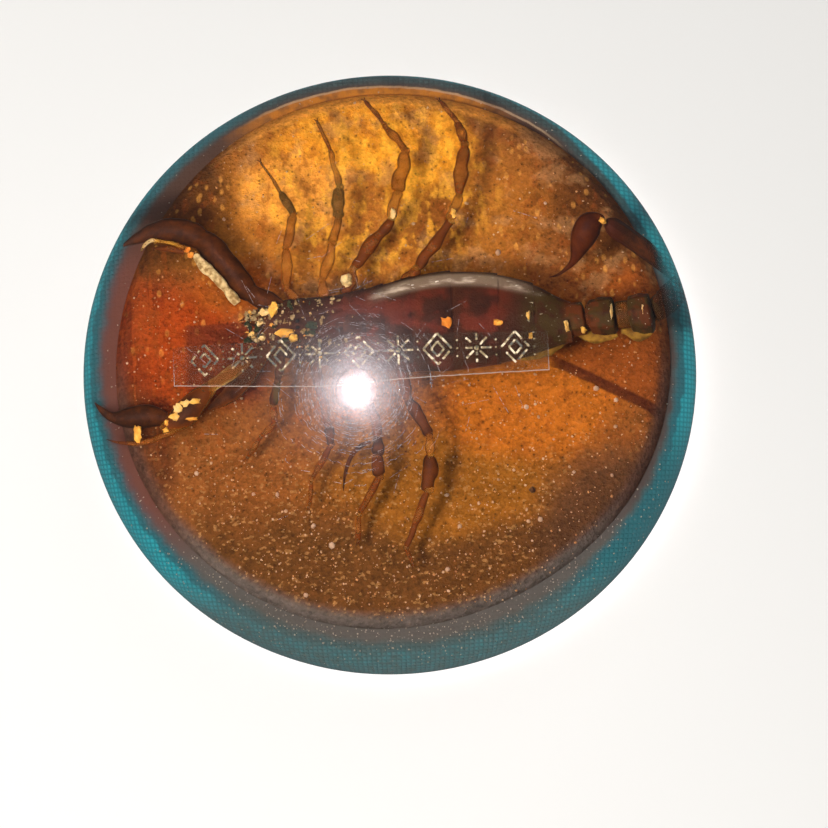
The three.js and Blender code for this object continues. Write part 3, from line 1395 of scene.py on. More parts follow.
@dataclass
class Grit:
    """Loose grains on the bed, and some that strayed into the clear margin."""

    bed: SandBed
    dice: random.Random = field(default_factory=lambda: random.Random(41))
    pebbles: tuple[tuple[float, float, float], ...] = (
        (-8.4, -16.6, 0.50), (-6.6, -18.7, 0.55), (-14.3, -13.0, 0.36), (-11.9, -13.2, 0.34),
        (5.2, -14.0, 0.40), (6.4, -17.2, 0.42), (5.0, -21.6, 0.45), (-9.5, -23.6, 0.55),
        (11.4, 11.0, 0.50), (-20.0, -10.5, 0.34), (13.6, -5.2, 0.46), (20.8, -3.4, 0.50),
        (22.8, -4.6, 0.36), (-7.2, -9.8, 0.55), (14.6, -16.8, 0.42), (-16.2, 15.8, 0.30),
        (16.4, 16.2, 0.34), (18.2, -12.0, 0.36),
    )

    def build(self) -> list[Object]:
        """Builds the pebbles and the pale, grey, amber and dark grains."""
        stones, pale, grey, amber, dark = (Draft() for _ in range(5))
        for x, y, size in self.pebbles:
            self._grain(stones, x, y, size * 0.72)
        self._scatter(stones, 26, (0.12, 0.22), lean=0.75)
        self._scatter(pale, 1250, (0.045, 0.14), lean=0.84)
        self._scatter(pale, 130, (0.12, 0.24), lean=0.92)
        self._scatter(amber, 1300, (0.05, 0.16), lean=0.4)
        self._scatter(dark, 380, (0.04, 0.11), lean=0.45)
        self._grain(dark, 13.9, -13.8, 0.5, z=3.3)
        self._margin(grey, 620)
        sorts = (
            (stones, "pebbles", Palette.PEBBLE),
            (pale, "pale_grit", Palette.PALE_GRIT),
            (grey, "grey_grit", Palette.GREY_GRIT),
            (amber, "amber_grit", Palette.AMBER_GRIT),
            (dark, "dark_grit", Palette.DARK_GRIT),
        )
        return [dress(draft, name, finish, "grit", 60.0) for draft, name, finish in sorts]

    def _scatter(self, draft: Draft, count: int, sizes: Pair, lean: float) -> None:
        """Strews grains over the bed.

        Args:
            draft: where they go.
            count: how many.
            sizes: the smallest and largest half size.
            lean: how much rarer they are towards +Y, from 0 for even to 1 for none there.
        """
        placed = 0
        while placed < count:
            x, y = self.dice.uniform(-28, 28), self.dice.uniform(-28, 28)
            if hypot(x, y) > self.bed.radius - 0.5:
                continue
            if self.dice.random() < lean * min(max((y + 24) / 34, 0.0), 1.0):
                continue
            size = sizes[0] + (sizes[1] - sizes[0]) * self.dice.random() ** 2.6
            self._grain(draft, x + self.bed.shift[0], y + self.bed.shift[1], size)
            placed += 1

    def _margin(self, draft: Draft, count: int) -> None:
        """Strews stray grains in the clear margin, thickest towards -Y.

        Args:
            draft: where they go.
            count: how many.
        """
        dice = self.dice
        placed = 0
        while placed < count:
            angle = dice.uniform(0, TURN)
            out = abs(dice.gauss(0, 1.0)) * (2.2 if sin(angle) < -0.3 else 0.7)
            keep = 0.04 + 0.96 * max(0.0, -sin(angle)) ** 2
            if dice.random() > keep or out > 6.0:
                continue
            x, y = self.bed.rim(angle, 0.1 + out)
            self._grain(draft, x, y, dice.uniform(0.035, 0.11), z=1.05 + dice.random() * 0.6)
            placed += 1

    def _grain(self, draft: Draft, x: float, y: float, size: float, z: float | None = None) -> None:
        """Adds one angular grain, half sunk where it lies on the bed.

        Args:
            draft: where it goes.
            x: its place across.
            y: its place along.
            size: its half size.
            z: its height, or None on the bed.
        """
        dice = self.dice
        level = self.bed.height(x, y) + size * 0.25 if z is None else z
        turn, tip = dice.uniform(0, TURN), dice.uniform(0, TURN)
        spin = Matrix.Rotation(turn, 3, "Z") @ Matrix.Rotation(tip, 3, "X")
        squash = [size * dice.uniform(0.6, 1.15) for _ in range(3)]
        span = hypot(1, GOLDEN)
        first = len(draft.points)
        for corner in GRAIN_CORNERS:
            local = Vector([corner[i] / span * squash[i] * dice.uniform(0.85, 1.1) for i in range(3)])
            draft.point(Vector((x, y, level)) + spin @ local)
        draft.faces += [tuple(first + index for index in face) for face in GRAIN_FACES]


GOLDEN = (1 + sqrt(5)) / 2
GRAIN_CORNERS = [
    corner for a in (-1, 1) for b in (-GOLDEN, GOLDEN) for corner in ((0, a, b), (a, b, 0), (b, 0, a))
]


def grain_faces() -> list[tuple[int, int, int]]:
    """The 20 triangles of a grain, found as the nearest corner triples of its 12 corners."""
    near = {
        (i, j)
        for i in range(12)
        for j in range(i + 1, 12)
        if dist(GRAIN_CORNERS[i], GRAIN_CORNERS[j]) < 2.01
    }
    return [
        (i, j, k)
        for i, j in near
        for k in range(j + 1, 12)
        if (i, k) in near and (j, k) in near
    ]


GRAIN_FACES = sorted(grain_faces())


# ---- the scorpion


@dataclass
class BodyLine:
    """The animal's outline seen from above, which the plates of its back and belly follow."""

    axis_z: float = 8.9
    front_x: float = -14.0
    rear_x: float = 19.3
    middles: tuple[float, ...] = (2.7, 2.6, 2.2, 2.0, 2.2, 2.5, 2.6, 2.65, 2.55, 2.2)
    half_widths: tuple[float, ...] = (2.0, 3.1, 3.6, 4.2, 4.8, 5.25, 5.2, 4.7, 3.6, 2.0)

    def at(self, x: float) -> Pair:
        """The body's middle and half width at a place along it.

        Args:
            x: the place.

        Returns:
            Its y and half width.
        """
        last = len(self.middles) - 1.0
        along = (x - self.front_x) / (self.rear_x - self.front_x) * last
        along = min(max(along, 0.0), last)
        return curve(along, self.middles), curve(along, self.half_widths)


@dataclass
class HeadShield:
    """The carapace, with its furrows and its eyes."""

    line: BodyLine
    front_x: float = -13.4
    rear_x: float = -4.2
    rim_z: float = 8.7
    rows: int = 34
    columns: int = 44

    def _surface(self, along: float, across: float) -> Vector:
        """The shield's top.

        Args:
            along: from 0 at its front to 1 at its rear.
            across: from 0 at one side to 1 at the other.

        Returns:
            The point there.
        """
        side = across * 2 - 1
        x = self.front_x + (self.rear_x - self.front_x) * along
        middle, half = self.line.at(x)
        notch = 0.5 * (1 - along) ** 5 * (cos(pi * side) + 0.2)
        rise = (1.5 + 1.2 * along) * max(0.0, 1 - abs(side) ** 2.6) ** 0.6
        rise -= 0.28 * exp(-((side / 0.09) ** 2)) * min(max((along - 0.5) * 6, 0.0), 1.0)
        rise += 0.42 * exp(-((side / 0.13) ** 2) - ((along - 0.42) / 0.07) ** 2)
        slant = abs(side) - 0.25 - 0.5 * (along - 0.45)
        fade = 1 if along > 0.45 else exp(-(((along - 0.45) / 0.1) ** 2))
        rise -= 0.2 * exp(-((slant / 0.06) ** 2)) * fade
        rise += 0.06 * noise.noise(Vector((x, side * 5, 3.0)) * 1.6)
        return Vector((x + notch, middle + half * side * 1.02, self.rim_z + rise))

    def top_z(self, x: float, y: float) -> float:
        """How high the shield is, or how high its rim is beside it.

        Args:
            x: the place across.
            y: the place along.

        Returns:
            Its z.
        """
        along = min(max((x - self.front_x) / (self.rear_x - self.front_x), 0.0), 1.0)
        middle, half = self.line.at(x)
        across = min(max(0.5 + (y - middle) / half / 2.04, 0.0), 1.0)
        return self._surface(along, across).z

    def _tone(self, along: float, across: float) -> float:
        """Darker at the rear, paler and browner towards the front edge."""
        side = abs(across * 2 - 1)
        return 0.78 + 0.12 * along - 0.16 * (1 - along) ** 4 + 0.06 * side

    def build(self) -> list[Object]:
        """Builds the shield and its eyes."""
        draft = Draft()
        under = Vector((0, 2.4, 6.0))
        draft.plate(self._surface, self._tone, self.rows, self.columns, 0.3, under)
        eyes = Draft()
        crown = self._surface(0.42, 0.5)
        for side in (-1, 1):
            eyes.blob((crown.x, crown.y + side * 0.34, crown.z - 0.02), (0.24, 0.2, 0.22), 0.9, side, 0.0)
            for step in range(3):
                edge = self._surface(0.03 + 0.05 * step, 0.5 + side * 0.42)
                eyes.blob((edge.x, edge.y, edge.z + 0.05), (0.13, 0.12, 0.12), 0.9, step, 0.0)
        return [
            dress(draft, "head_shield", Palette.BODY, "body_shell"),
            dress(eyes, "eyes", Palette.EYE, "body_shell"),
        ]


@dataclass
class Trunk:
    """The seven overlapping plates of the back, the soft flanks and the belly."""

    line: BodyLine
    bounds: tuple[float, ...] = (-4.5, -3.0, -1.0, 1.8, 6.1, 11.0, 14.7, 18.6)
    overlap: float = 0.55
    arc: float = 80.0

    def _plate(self, draft: Draft, start: float, end: float) -> None:
        """Adds one plate of the back.

        Args:
            draft: where it goes.
            start: the x of its front.
            end: the x of its rear.
        """
        length = end - start + self.overlap

        def place(along: float, across: float) -> Vector:
            """The plate's outside.

            Args:
                along: from 0 at its front to 1 at its rear.
                across: from 0 at one side to 1 at the other.

            Returns:
                The point there.
            """
            lean = radians(self.arc) * (across * 2 - 1)
            x = start + length * along
            middle, half = self.line.at(x)
            lift = 0.06 + 0.16 * along**2
            height = 0.54 * half + 0.25
            keel = 0.1 * exp(-((lean / 0.06) ** 2)) * (0.3 + along)
            keel += 0.07 * exp(-(((abs(lean) - 0.62) / 0.05) ** 2)) * along
            rear = 0.3 * cos(lean) * along**3
            rough = 0.05 * noise.noise(Vector((x * 1.8, lean * 6, start)))
            reach = 1 + lift / half
            return Vector(
                (
                    x + rear - 0.2 * cos(lean),
                    middle + half * reach * sin(lean),
                    self.line.axis_z + (height + lift + keel + rough) * cos(lean) ** 0.85,
                )
            )

        def tone(along: float, across: float) -> float:
            """Near black, a little warmer along the plate's front."""
            return 0.80 + 0.16 * along - 0.1 * exp(-((along / 0.15) ** 2))

        draft.plate(place, tone, 12, 40, 0.14, Vector((0, 2.4, 6.5)))

    def build(self) -> list[Object]:
        """Builds the back and the belly."""
        back = Draft()
        for start, end in zip(self.bounds, self.bounds[1:]):
            self._plate(back, start, end)
        belly = Draft()
        rings = []
        steps, sides = 60, 40
        front, rear = -13.0, 19.2
        for step in range(steps + 1):
            x = front + (rear - front) * step / steps
            middle, half = self.line.at(x)
            row, tones = [], []
            for side in range(sides):
                around = TURN * side / sides
                reach = half * 0.97
                tall = half * (0.48 if sin(around) > 0 else 0.52)
                level = self.line.axis_z - 0.1 + tall * sin(around)
                row.append((x, middle + reach * cos(around), level))
                flank = abs(cos(around)) ** 3
                fold = 0.5 + 0.5 * cos(x * 2.4)
                tones.append(0.62 - 0.2 * flank + 0.12 * fold)
            rings.append(belly.ring(row, tones))
        belly.fan(rings[0], belly.point((front - 0.5, self.line.at(front)[0], self.line.axis_z), 0.6))
        belly.skins(rings)
        belly.fan(rings[-1], belly.point((rear + 0.4, self.line.at(rear)[0], self.line.axis_z), 0.6))
        return [
            dress(back, "back_plates", Palette.BODY, "body_shell"),
            dress(belly, "belly", Palette.BODY, "body_shell"),
        ]


@dataclass
class Tail:
    """The five barrel segments of the tail and the sting."""

    joints: tuple[Place, ...] = (
        (18.0, 2.3, 9.2), (20.9, 2.7, 9.3), (24.3, 3.0, 9.5), (28.7, 3.4, 9.3), (32.9, 8.2, 5.7),
        (24.3, 13.3, 11.9),
    )
    necks: tuple[float, ...] = (0.1, 0.1, 1.3, 0.2, 0.1)
    half_widths: tuple[float, ...] = (1.7, 1.95, 2.1, 1.5, 1.3)
    tones: tuple[float, ...] = (0.92, 0.98, 0.96, 0.92, 0.95)
    bulb: tuple[Stop, ...] = limb_run(
        (24.1, 13.6, 11.9, 0.35, 0.6), (23.4, 13.6, 11.9, 0.85, 0.90), (22.3, 12.9, 11.8, 1.42, 0.94),
        (21.3, 11.4, 11.5, 1.40, 0.88), (20.6, 10.0, 11.1, 0.94, 0.90), (20.0, 8.8, 10.8, 0.46, 0.90),
        (19.1, 7.9, 10.5, 0.24, 0.92), (18.0, 7.2, 10.2, 0.13, 0.95), (17.1, 7.0, 10.0, 0.03, 1.0),
    )

    def build(self) -> list[Object]:
        """Builds the segments and the sting."""
        made = []
        for number, (start, end) in enumerate(zip(self.joints, self.joints[1:])):
            width = self.half_widths[number]
            draft = Draft()
            ahead = (Vector(end) - Vector(start)).normalized()
            near = Vector(start) + ahead * self.necks[number]
            neck = (Stop(start, width * 0.7, 0.66), Stop(near + ahead * 0.5, width * 0.75, 0.66))
            draft.sweep(neck, sides=20)
            draft.spindle(
                tuple(near),
                tuple(Vector(end) - ahead * 0.1),
                (width * 0.84, width, width * 0.94),
                self.tones[number],
                flat=0.86,
                keel=0.1,
                collar=0.12,
                sides=48,
                ridges=8,
            )
            made.append(dress(draft, f"tail_segment_{number + 1}", Palette.LIMB, "limb_shell"))
        sting = Draft()
        sting.sweep(self.bulb, steps=5, sides=28, flat=0.95, keel=0.1)
        made.append(dress(sting, "sting", Palette.LIMB, "limb_shell"))
        return made


@dataclass
class Leg:
    """One walking leg: its joints from the body outwards, and each segment's half width and tone."""

    name: str
    joints: tuple[Place, ...]
    half_widths: tuple[float, ...]
    tones: tuple[float, ...]
    joint_tones: tuple[float, ...] = (0.5,)

    def build(self) -> Object:
        """Builds the leg with its joint knuckles and its two foot claws."""
        draft = Draft()
        for number, (start, end) in enumerate(zip(self.joints, self.joints[1:])):
            half = self.half_widths[number]
            bow = 0.12 if number in (1, 2) else 0.0
            widths = (half * 0.82, half, half * 0.80)
            shade = {"flat": 0.7, "keel": 0.2, "collar": 0.05, "ragged": 0.42}
            draft.spindle(start, end, widths, self.tones[number], bow=bow, sides=16, **shade)
            knuckle = half * 0.68
            tone = self.joint_tones[number % len(self.joint_tones)]
            draft.blob(end, (knuckle, knuckle, knuckle * 0.85), tone, number * 3.1 + half, 0.5)
        tip, before = Vector(self.joints[-1]), Vector(self.joints[-2])
        ahead = (tip - before).normalized()
        side = ahead.cross(Vector((0, 0, 1))).normalized()
        for way in (-1, 1):
            mid = tip + ahead * 0.3 + side * way * 0.12
            point = tip + ahead * 0.5 + side * way * 0.22 - Vector((0, 0, 0.2))
            run = [Stop(tip, 0.08, 0.7), Stop(mid, 0.06, 0.85), Stop(point, 0.015, 1.0)]
            draft.sweep(run, steps=3, sides=6)
        return dress(draft, self.name, Palette.LIMB, "limb_shell")


LEGS = (
    Leg(
        "upper_leg_1",
        (
            (-9.1, 5.0, 8.5), (-10.4, 7.0, 9.2), (-10.4, 11.2, 9.8), (-9.5, 15.0, 9.1),
            (-10.6, 17.5, 8.3), (-11.8, 20.0, 7.3), (-12.6, 21.5, 6.7),
        ),
        (0.48, 0.56, 0.56, 0.46, 0.22, 0.15),
        (0.55, 0.48, 0.50, 0.66, 0.52, 0.55),
    ),
    Leg(
        "upper_leg_2",
        (
            (-6.5, 5.2, 8.5), (-6.7, 7.6, 9.1), (-5.4, 11.4, 9.9), (-4.8, 14.3, 9.5), (-4.5, 17.8, 8.9),
            (-5.3, 22.1, 7.9), (-6.6, 25.8, 6.9),
        ),
        (0.56, 0.56, 0.52, 0.68, 0.40, 0.22),
        (0.50, 0.45, 0.50, 0.62, 0.46, 0.58),
        (0.5, 0.5, 0.5, 0.3, 0.4, 0.5),
    ),
    Leg(
        "upper_leg_3",
        (
            (-4.1, 6.2, 8.5), (-3.4, 8.6, 9.4), (0.8, 13.9, 10.0), (1.5, 17.0, 9.3), (2.5, 21.7, 8.6),
            (0.4, 25.1, 7.7), (-1.5, 28.1, 6.9),
        ),
        (0.66, 0.66, 0.56, 0.76, 0.44, 0.27),
        (0.62, 0.70, 0.42, 0.50, 0.60, 0.66),
        (0.4, 0.2, 0.35, 0.5, 0.5, 0.5),
    ),
    Leg(
        "upper_leg_4",
        (
            (1.2, 6.2, 8.5), (3.2, 8.4, 9.4), (7.0, 13.4, 10.0), (7.9, 16.4, 9.3), (8.8, 22.4, 8.4),
            (8.1, 25.2, 7.7), (6.4, 27.9, 6.9),
        ),
        (0.68, 0.70, 0.56, 0.72, 0.50, 0.34),
        (0.66, 0.74, 0.40, 0.60, 0.62, 0.64),
        (0.4, 0.35, 0.4, 0.5, 0.5, 0.5),
    ),
    Leg(
        "lower_leg_1",
        (
            (-11.0, 0.2, 8.5), (-11.7, -3.0, 9.0), (-12.3, -5.6, 9.0), (-12.2, -7.3, 8.4),
            (-13.6, -8.4, 7.6), (-15.0, -10.2, 6.5),
        ),
        (0.50, 0.48, 0.42, 0.36, 0.26),
        (0.80, 0.82, 0.62, 0.60, 0.60),
    ),
    Leg(
        "lower_leg_2",
        (
            (-7.8, -1.0, 8.5), (-7.1, -5.1, 9.0), (-6.6, -8.2, 9.0), (-6.4, -9.9, 8.6),
            (-8.5, -13.1, 7.2), (-8.9, -15.6, 6.2),
        ),
        (0.50, 0.50, 0.54, 0.32, 0.26),
        (0.72, 0.68, 0.90, 0.66, 0.62),
    ),
    Leg(
        "lower_leg_3",
        (
            (-3.6, -1.8, 8.5), (-2.1, -5.8, 9.3), (-1.5, -9.4, 9.4), (-1.7, -11.4, 9.0),
            (-1.5, -13.4, 8.5), (-3.8, -16.9, 7.1), (-4.0, -19.3, 6.0),
        ),
        (0.50, 0.54, 0.62, 0.68, 0.38, 0.30),
        (0.75, 0.72, 0.92, 0.78, 0.64, 0.62),
        (0.5, 0.5, 0.6, 0.5, 0.4, 0.5),
    ),
    Leg(
        "lower_leg_4",
        (
            (0.8, -1.8, 8.5), (1.8, -5.6, 9.2), (3.8, -9.6, 9.5), (3.8, -11.6, 9.2), (3.5, -14.9, 8.4),
            (0.9, -20.4, 6.6), (1.5, -21.9, 6.0),
        ),
        (0.60, 0.66, 0.54, 0.84, 0.42, 0.22),
        (0.72, 0.85, 0.46, 0.80, 0.70, 0.62),
        (0.5, 0.6, 0.35, 0.45, 0.5, 0.5),
    ),
)


@dataclass
class Claw:
    """One pedipalp: arm, forearm, hand and the two fingers."""

    name: str
    arm: tuple[Stop, ...]
    forearm: tuple[Stop, ...]
    hand: tuple[Stop, ...]
    fixed_finger: tuple[Stop, ...]
    free_finger: tuple[Stop, ...]
    keel: float = 0.12

    def build(self) -> Object:
        """Builds the limb, with the row of knobs along the inside of each finger."""
        draft = Draft()
        for run, sides, flat in ((self.arm, 14, 0.85), (self.forearm, 16, 0.9), (self.hand, 20, 0.8)):
            draft.sweep(run, steps=5, sides=sides, flat=flat, keel=self.keel, ragged=0.12)
        for finger in (self.fixed_finger, self.free_finger):
            draft.sweep(finger, steps=6, sides=12, flat=0.8, keel=0.12)
            self._knobs(draft, finger)
        return dress(draft, self.name, Palette.LIMB, "limb_shell")

    @staticmethod
    def _knobs(draft: Draft, finger: Sequence[Stop]) -> None:
        """Adds the small teeth of a finger.

        Args:
            draft: where they go.
            finger: the finger's stops.
        """
        count = 9
        for number in range(1, count):
            along = number / count * (len(finger) - 1)
            spot = tuple(curve(along, [stop.place[i] for stop in finger]) for i in range(3))
            width = curve(along, [stop.half_width for stop in finger])
            draft.blob((spot[0], spot[1], spot[2] + width * 0.8), (0.07, 0.07, 0.09), 0.9, number, 0.0)


# The forearm and hand are drawn much wider and darker than the limb, so that they also stand in for the
# claw's shadow on the sand: limb and painted shadow in one.
UPPER_CLAW = Claw(
    "upper_claw_and_shadow",
    arm=limb_run(
        (-10.6, 4.6, 9.0, 0.6, 0.86), (-11.9, 5.3, 9.2, 1.00, 0.88), (-13.2, 6.0, 9.3, 1.10, 0.90),
        (-14.5, 6.8, 9.1, 0.9, 0.90),
    ),
    forearm=limb_run(
        (-13.8, 6.2, 8.9, 0.7, 0.90), (-15.0, 7.4, 8.8, 1.32, 0.92), (-16.6, 9.7, 8.8, 1.40, 0.93),
        (-18.5, 12.3, 8.7, 1.36, 0.92), (-19.8, 13.5, 8.6, 0.9, 0.90),
    ),
    hand=limb_run(
        (-19.0, 12.8, 8.6, 1.0, 0.90), (-20.6, 14.0, 8.5, 1.42, 0.93), (-22.9, 14.7, 8.3, 1.52, 0.93),
        (-25.0, 14.7, 8.1, 1.20, 0.92), (-26.8, 14.5, 7.9, 0.75, 0.92), (-28.6, 14.2, 7.6, 0.25, 0.92),
    ),
    fixed_finger=limb_run(
        (-21.3, 12.2, 9.5, 0.24, 0.40), (-22.6, 12.9, 9.5, 0.20, 0.25), (-23.8, 13.3, 9.3, 0.18, 0.28),
        (-25.1, 13.7, 9.1, 0.26, 0.05), (-25.9, 13.3, 8.8, 0.24, 0.0), (-26.2, 12.7, 8.5, 0.05, 0.3),
    ),
    free_finger=limb_run(
        (-21.2, 11.8, 9.2, 0.34, 0.62), (-22.6, 12.3, 9.0, 0.40, 0.70), (-23.8, 12.6, 8.8, 0.30, 0.75),
        (-24.9, 12.8, 8.5, 0.05, 0.9),
    ),
)
# The dark arm that drops below the forearm and the wide dark fixed finger stand in for the claw's shadows on
# the sand: limb and painted shadow in one.
LOWER_CLAW = Claw(
    "lower_claw_and_shadow",
    arm=limb_run(
        (-11.8, 1.2, 9.0, 0.5, 0.8), (-13.3, -0.2, 9.3, 0.85, 0.86), (-14.9, -2.2, 8.6, 1.00, 0.92),
        (-16.4, -3.5, 7.6, 1.00, 0.94), (-17.8, -4.4, 7.2, 0.62, 0.94), (-18.9, -5.0, 7.0, 0.12, 0.94),
    ),
    forearm=limb_run(
        (-14.4, -0.6, 9.3, 0.45, 0.60), (-15.8, -1.4, 9.3, 0.66, 0.50), (-17.4, -2.4, 9.2, 0.72, 0.46),
        (-18.8, -3.2, 9.0, 0.62, 0.48),
    ),
    hand=limb_run(
        (-18.3, -2.9, 8.9, 0.5, 0.50), (-19.7, -4.0, 8.7, 1.15, 0.80), (-21.3, -5.5, 8.5, 1.42, 0.98),
        (-22.8, -6.5, 8.3, 1.05, 0.86), (-24.2, -7.3, 8.1, 0.45, 0.50),
    ),
    fixed_finger=limb_run(
        (-23.6, -6.0, 8.0, 0.70, 0.95), (-25.6, -5.5, 7.7, 1.25, 0.96), (-27.9, -5.4, 7.3, 1.10, 0.96),
        (-29.8, -5.1, 7.0, 0.60, 0.95), (-31.2, -4.2, 6.7, 0.42, 0.95), (-32.3, -3.1, 6.4, 0.08, 0.95),
    ),
    free_finger=limb_run(
        (-22.6, -7.2, 8.0, 0.36, 0.55), (-24.6, -7.9, 7.6, 0.30, 0.6), (-26.8, -8.2, 7.2, 0.26, 0.55),
        (-29.2, -7.9, 6.9, 0.16, 0.7), (-31.0, -7.4, 6.7, 0.04, 0.95),
    ),
    keel=-0.45,
)


@dataclass
class Mouthparts:
    """The two small pincers in front of the head shield."""

    roots: tuple[Place, ...] = ((-12.4, 3.6, 9.2), (-12.4, 1.9, 9.2))

    def build(self) -> Object:
        """Builds both pincers."""
        draft = Draft()
        for number, root in enumerate(self.roots):
            way = 1 if number == 0 else -1
            start = Vector(root)
            draft.sweep(
                [
                    Stop(start, 0.5, 0.8),
                    Stop(start + Vector((-0.8, 0.05 * way, 0.1)), 0.76, 0.84),
                    Stop(start + Vector((-1.7, 0.1 * way, 0.0)), 0.62, 0.78),
                    Stop(start + Vector((-2.2, 0.15 * way, -0.1)), 0.25, 0.7),
                ],
                steps=4,
                sides=14,
                keel=0.15,
            )
            for side, reach in ((0.32, 1.15), (-0.25, 0.95)):
                tip = start + Vector((-2.0 - reach, side * way * 0.3, -0.35))
                bend = start + Vector((-2.3, side * way, -0.05))
                root_end = start + Vector((-1.7, side * way, 0))
                run = [Stop(root_end, 0.24, 0.5), Stop(bend, 0.2, 0.7), Stop(tip, 0.02, 1.0)]
                draft.sweep(run, steps=4, sides=8)
        return dress(draft, "mouth_pincers", Palette.LIMB, "limb_shell")


@dataclass
class Combs:
    """The pair of comb organs under the front of the trunk."""

    root: Place = (-2.6, 2.0, 6.35)
    length: float = 4.2
    teeth: int = 14

    def build(self) -> Object:
        """Builds both combs."""
        draft = Draft()
        for way in (-1, 1):
            start = Vector(self.root) + Vector((0, 0.5 * way, 0))
            ahead = Vector((0.55, 0.83 * way, -0.06)).normalized()
            end = start + ahead * self.length
            run = [Stop(start, 0.28, 0.5), Stop(start.lerp(end, 0.5), 0.24, 0.55), Stop(end, 0.12, 0.6)]
            draft.sweep(run, sides=8)
            for tooth in range(self.teeth):
                root = start.lerp(end, 0.15 + 0.8 * tooth / self.teeth)
                tip = root + Vector((0.75, -0.3 * way, -0.15))
                run = [Stop(root, 0.09, 0.35), Stop(root.lerp(tip, 0.5), 0.1, 0.3), Stop(tip, 0.05, 0.3)]
                draft.sweep(run, steps=2, sides=6)
        return dress(draft, "combs", Palette.LIMB, "limb_shell")


@dataclass
class DryTissue:
    """Dried flesh that has shrunk away from the shell and shows as amber and cream lumps."""

    lumps: tuple[tuple[Place, Place, float], ...] = (
        ((-11.9, 4.4, 10.9), (0.58, 0.68, 0.4), 0.55), ((-12.9, 4.2, 10.4), (0.55, 0.34, 0.3), 0.15),
        ((-10.9, 1.7, 11.0), (0.90, 0.38, 0.3), 0.60), ((-10.0, 1.1, 11.1), (0.50, 0.42, 0.3), 0.50),
        ((-14.3, 1.9, 10.1), (0.40, 0.34, 0.35), 0.3), ((-13.5, 3.0, 10.4), (0.30, 0.28, 0.25), 0.1),
        ((-13.2, 1.4, 10.3), (0.28, 0.28, 0.25), 0.1), ((-4.1, 7.3, 9.8), (0.60, 0.70, 0.55), 0.05),
        ((6.1, 1.9, 12.35), (0.56, 0.56, 0.32), 1.0), ((11.6, 1.7, 12.1), (0.50, 0.28, 0.2), 0.75),
        ((14.8, 2.5, 11.55), (0.20, 0.50, 0.26), 0.4), ((14.9, 0.4, 11.2), (0.22, 0.40, 0.24), 0.5),
        ((18.8, 1.4, 10.9), (0.24, 0.56, 0.4), 0.35), ((20.6, 1.0, 10.8), (0.26, 0.36, 0.3), 0.4),
        ((23.9, 3.0, 11.1), (0.13, 0.70, 0.4), 0.15), ((27.7, 3.4, 11.0), (0.15, 0.56, 0.3), 0.15),
        ((24.0, 13.3, 12.6), (0.45, 0.36, 0.35), 0.6), ((0.95, 14.3, 10.3), (0.30, 0.52, 0.3), 0.1),
        ((7.25, 14.2, 10.3), (0.28, 0.40, 0.3), 0.45), ((-20.6, 11.3, 9.7), (0.36, 0.34, 0.3), 0.9),
        ((-21.0, 11.9, 9.6), (0.30, 0.30, 0.3), 1.2), ((-20.6, -4.8, 9.7), (0.52, 0.26, 0.2), 0.45),
        ((-21.7, -4.9, 9.65), (0.46, 0.34, 0.2), 0.35), ((-22.5, -5.4, 9.5), (0.48, 0.46, 0.22), 0.25),
        ((-22.9, -6.2, 9.35), (0.50, 0.48, 0.22), 0.40), ((-23.8, -6.7, 9.0), (0.26, 0.26, 0.2), 0.55),
        ((-23.9, -7.4, 8.8), (0.28, 0.28, 0.2), 0.55), ((-21.0, -6.6, 9.5), (0.50, 0.18, 0.2), 0.75),
        ((-27.1, -7.4, 8.2), (0.46, 0.86, 0.4), 0.62),
    )

    strip: tuple[Stop, ...] = limb_run(
        (-15.7, 5.5, 9.9, 0.40, 0.0), (-16.4, 6.4, 10.0, 0.46, 0.0), (-17.1, 7.3, 10.1, 0.44, 0.0),
        (-17.8, 8.2, 10.1, 0.48, 0.0), (-18.5, 9.1, 10.1, 0.50, 0.0), (-19.2, 10.0, 10.1, 0.56, 0.0),
        (-19.9, 10.8, 10.0, 0.46, 0.0), (-20.2, 11.2, 9.9, 0.15, 0.0),
    )

    skins: tuple[tuple[Stop, ...], ...] = (
        limb_run((19.4, 1.2, 8.6, 0.2, 0.4), (21.7, 0.8, 8.7, 0.75, 0.4), (24.1, 1.1, 8.7, 0.3, 0.4)),
        limb_run((24.6, 1.4, 8.7, 0.3, 0.4), (26.5, 1.2, 8.8, 0.85, 0.4), (28.4, 1.7, 8.7, 0.3, 0.4)),
        limb_run((13.6, -1.6, 9.0, 0.2, 0.4), (16.0, -0.7, 8.8, 0.75, 0.4), (18.4, 0.3, 8.8, 0.3, 0.4)),
    )

    def build(self) -> list[Object]:
        """Builds the lumps, the strip of flesh along the upper forearm and the skin under the tail."""
        lumps, strip, skins = Draft(), Draft(), Draft()
        for number, (centre, half, tone) in enumerate(self.lumps):
            lumps.blob(centre, half, tone, number * 1.37, 1.0)
        strip.sweep(self.strip, steps=6, sides=16, flat=0.6, ragged=0.35)
        for skin in self.skins:
            skins.sweep(skin, steps=8, sides=14, flat=0.7, ragged=0.4)
        return [
            dress(lumps, "dry_tissue", Palette.TISSUE, "dry_tissue"),
            dress(strip, "old_flesh", Palette.MARROW, "dry_tissue"),
            dress(skins, "amber_skin", Palette.AMBER_SKIN, "dry_tissue"),
        ]


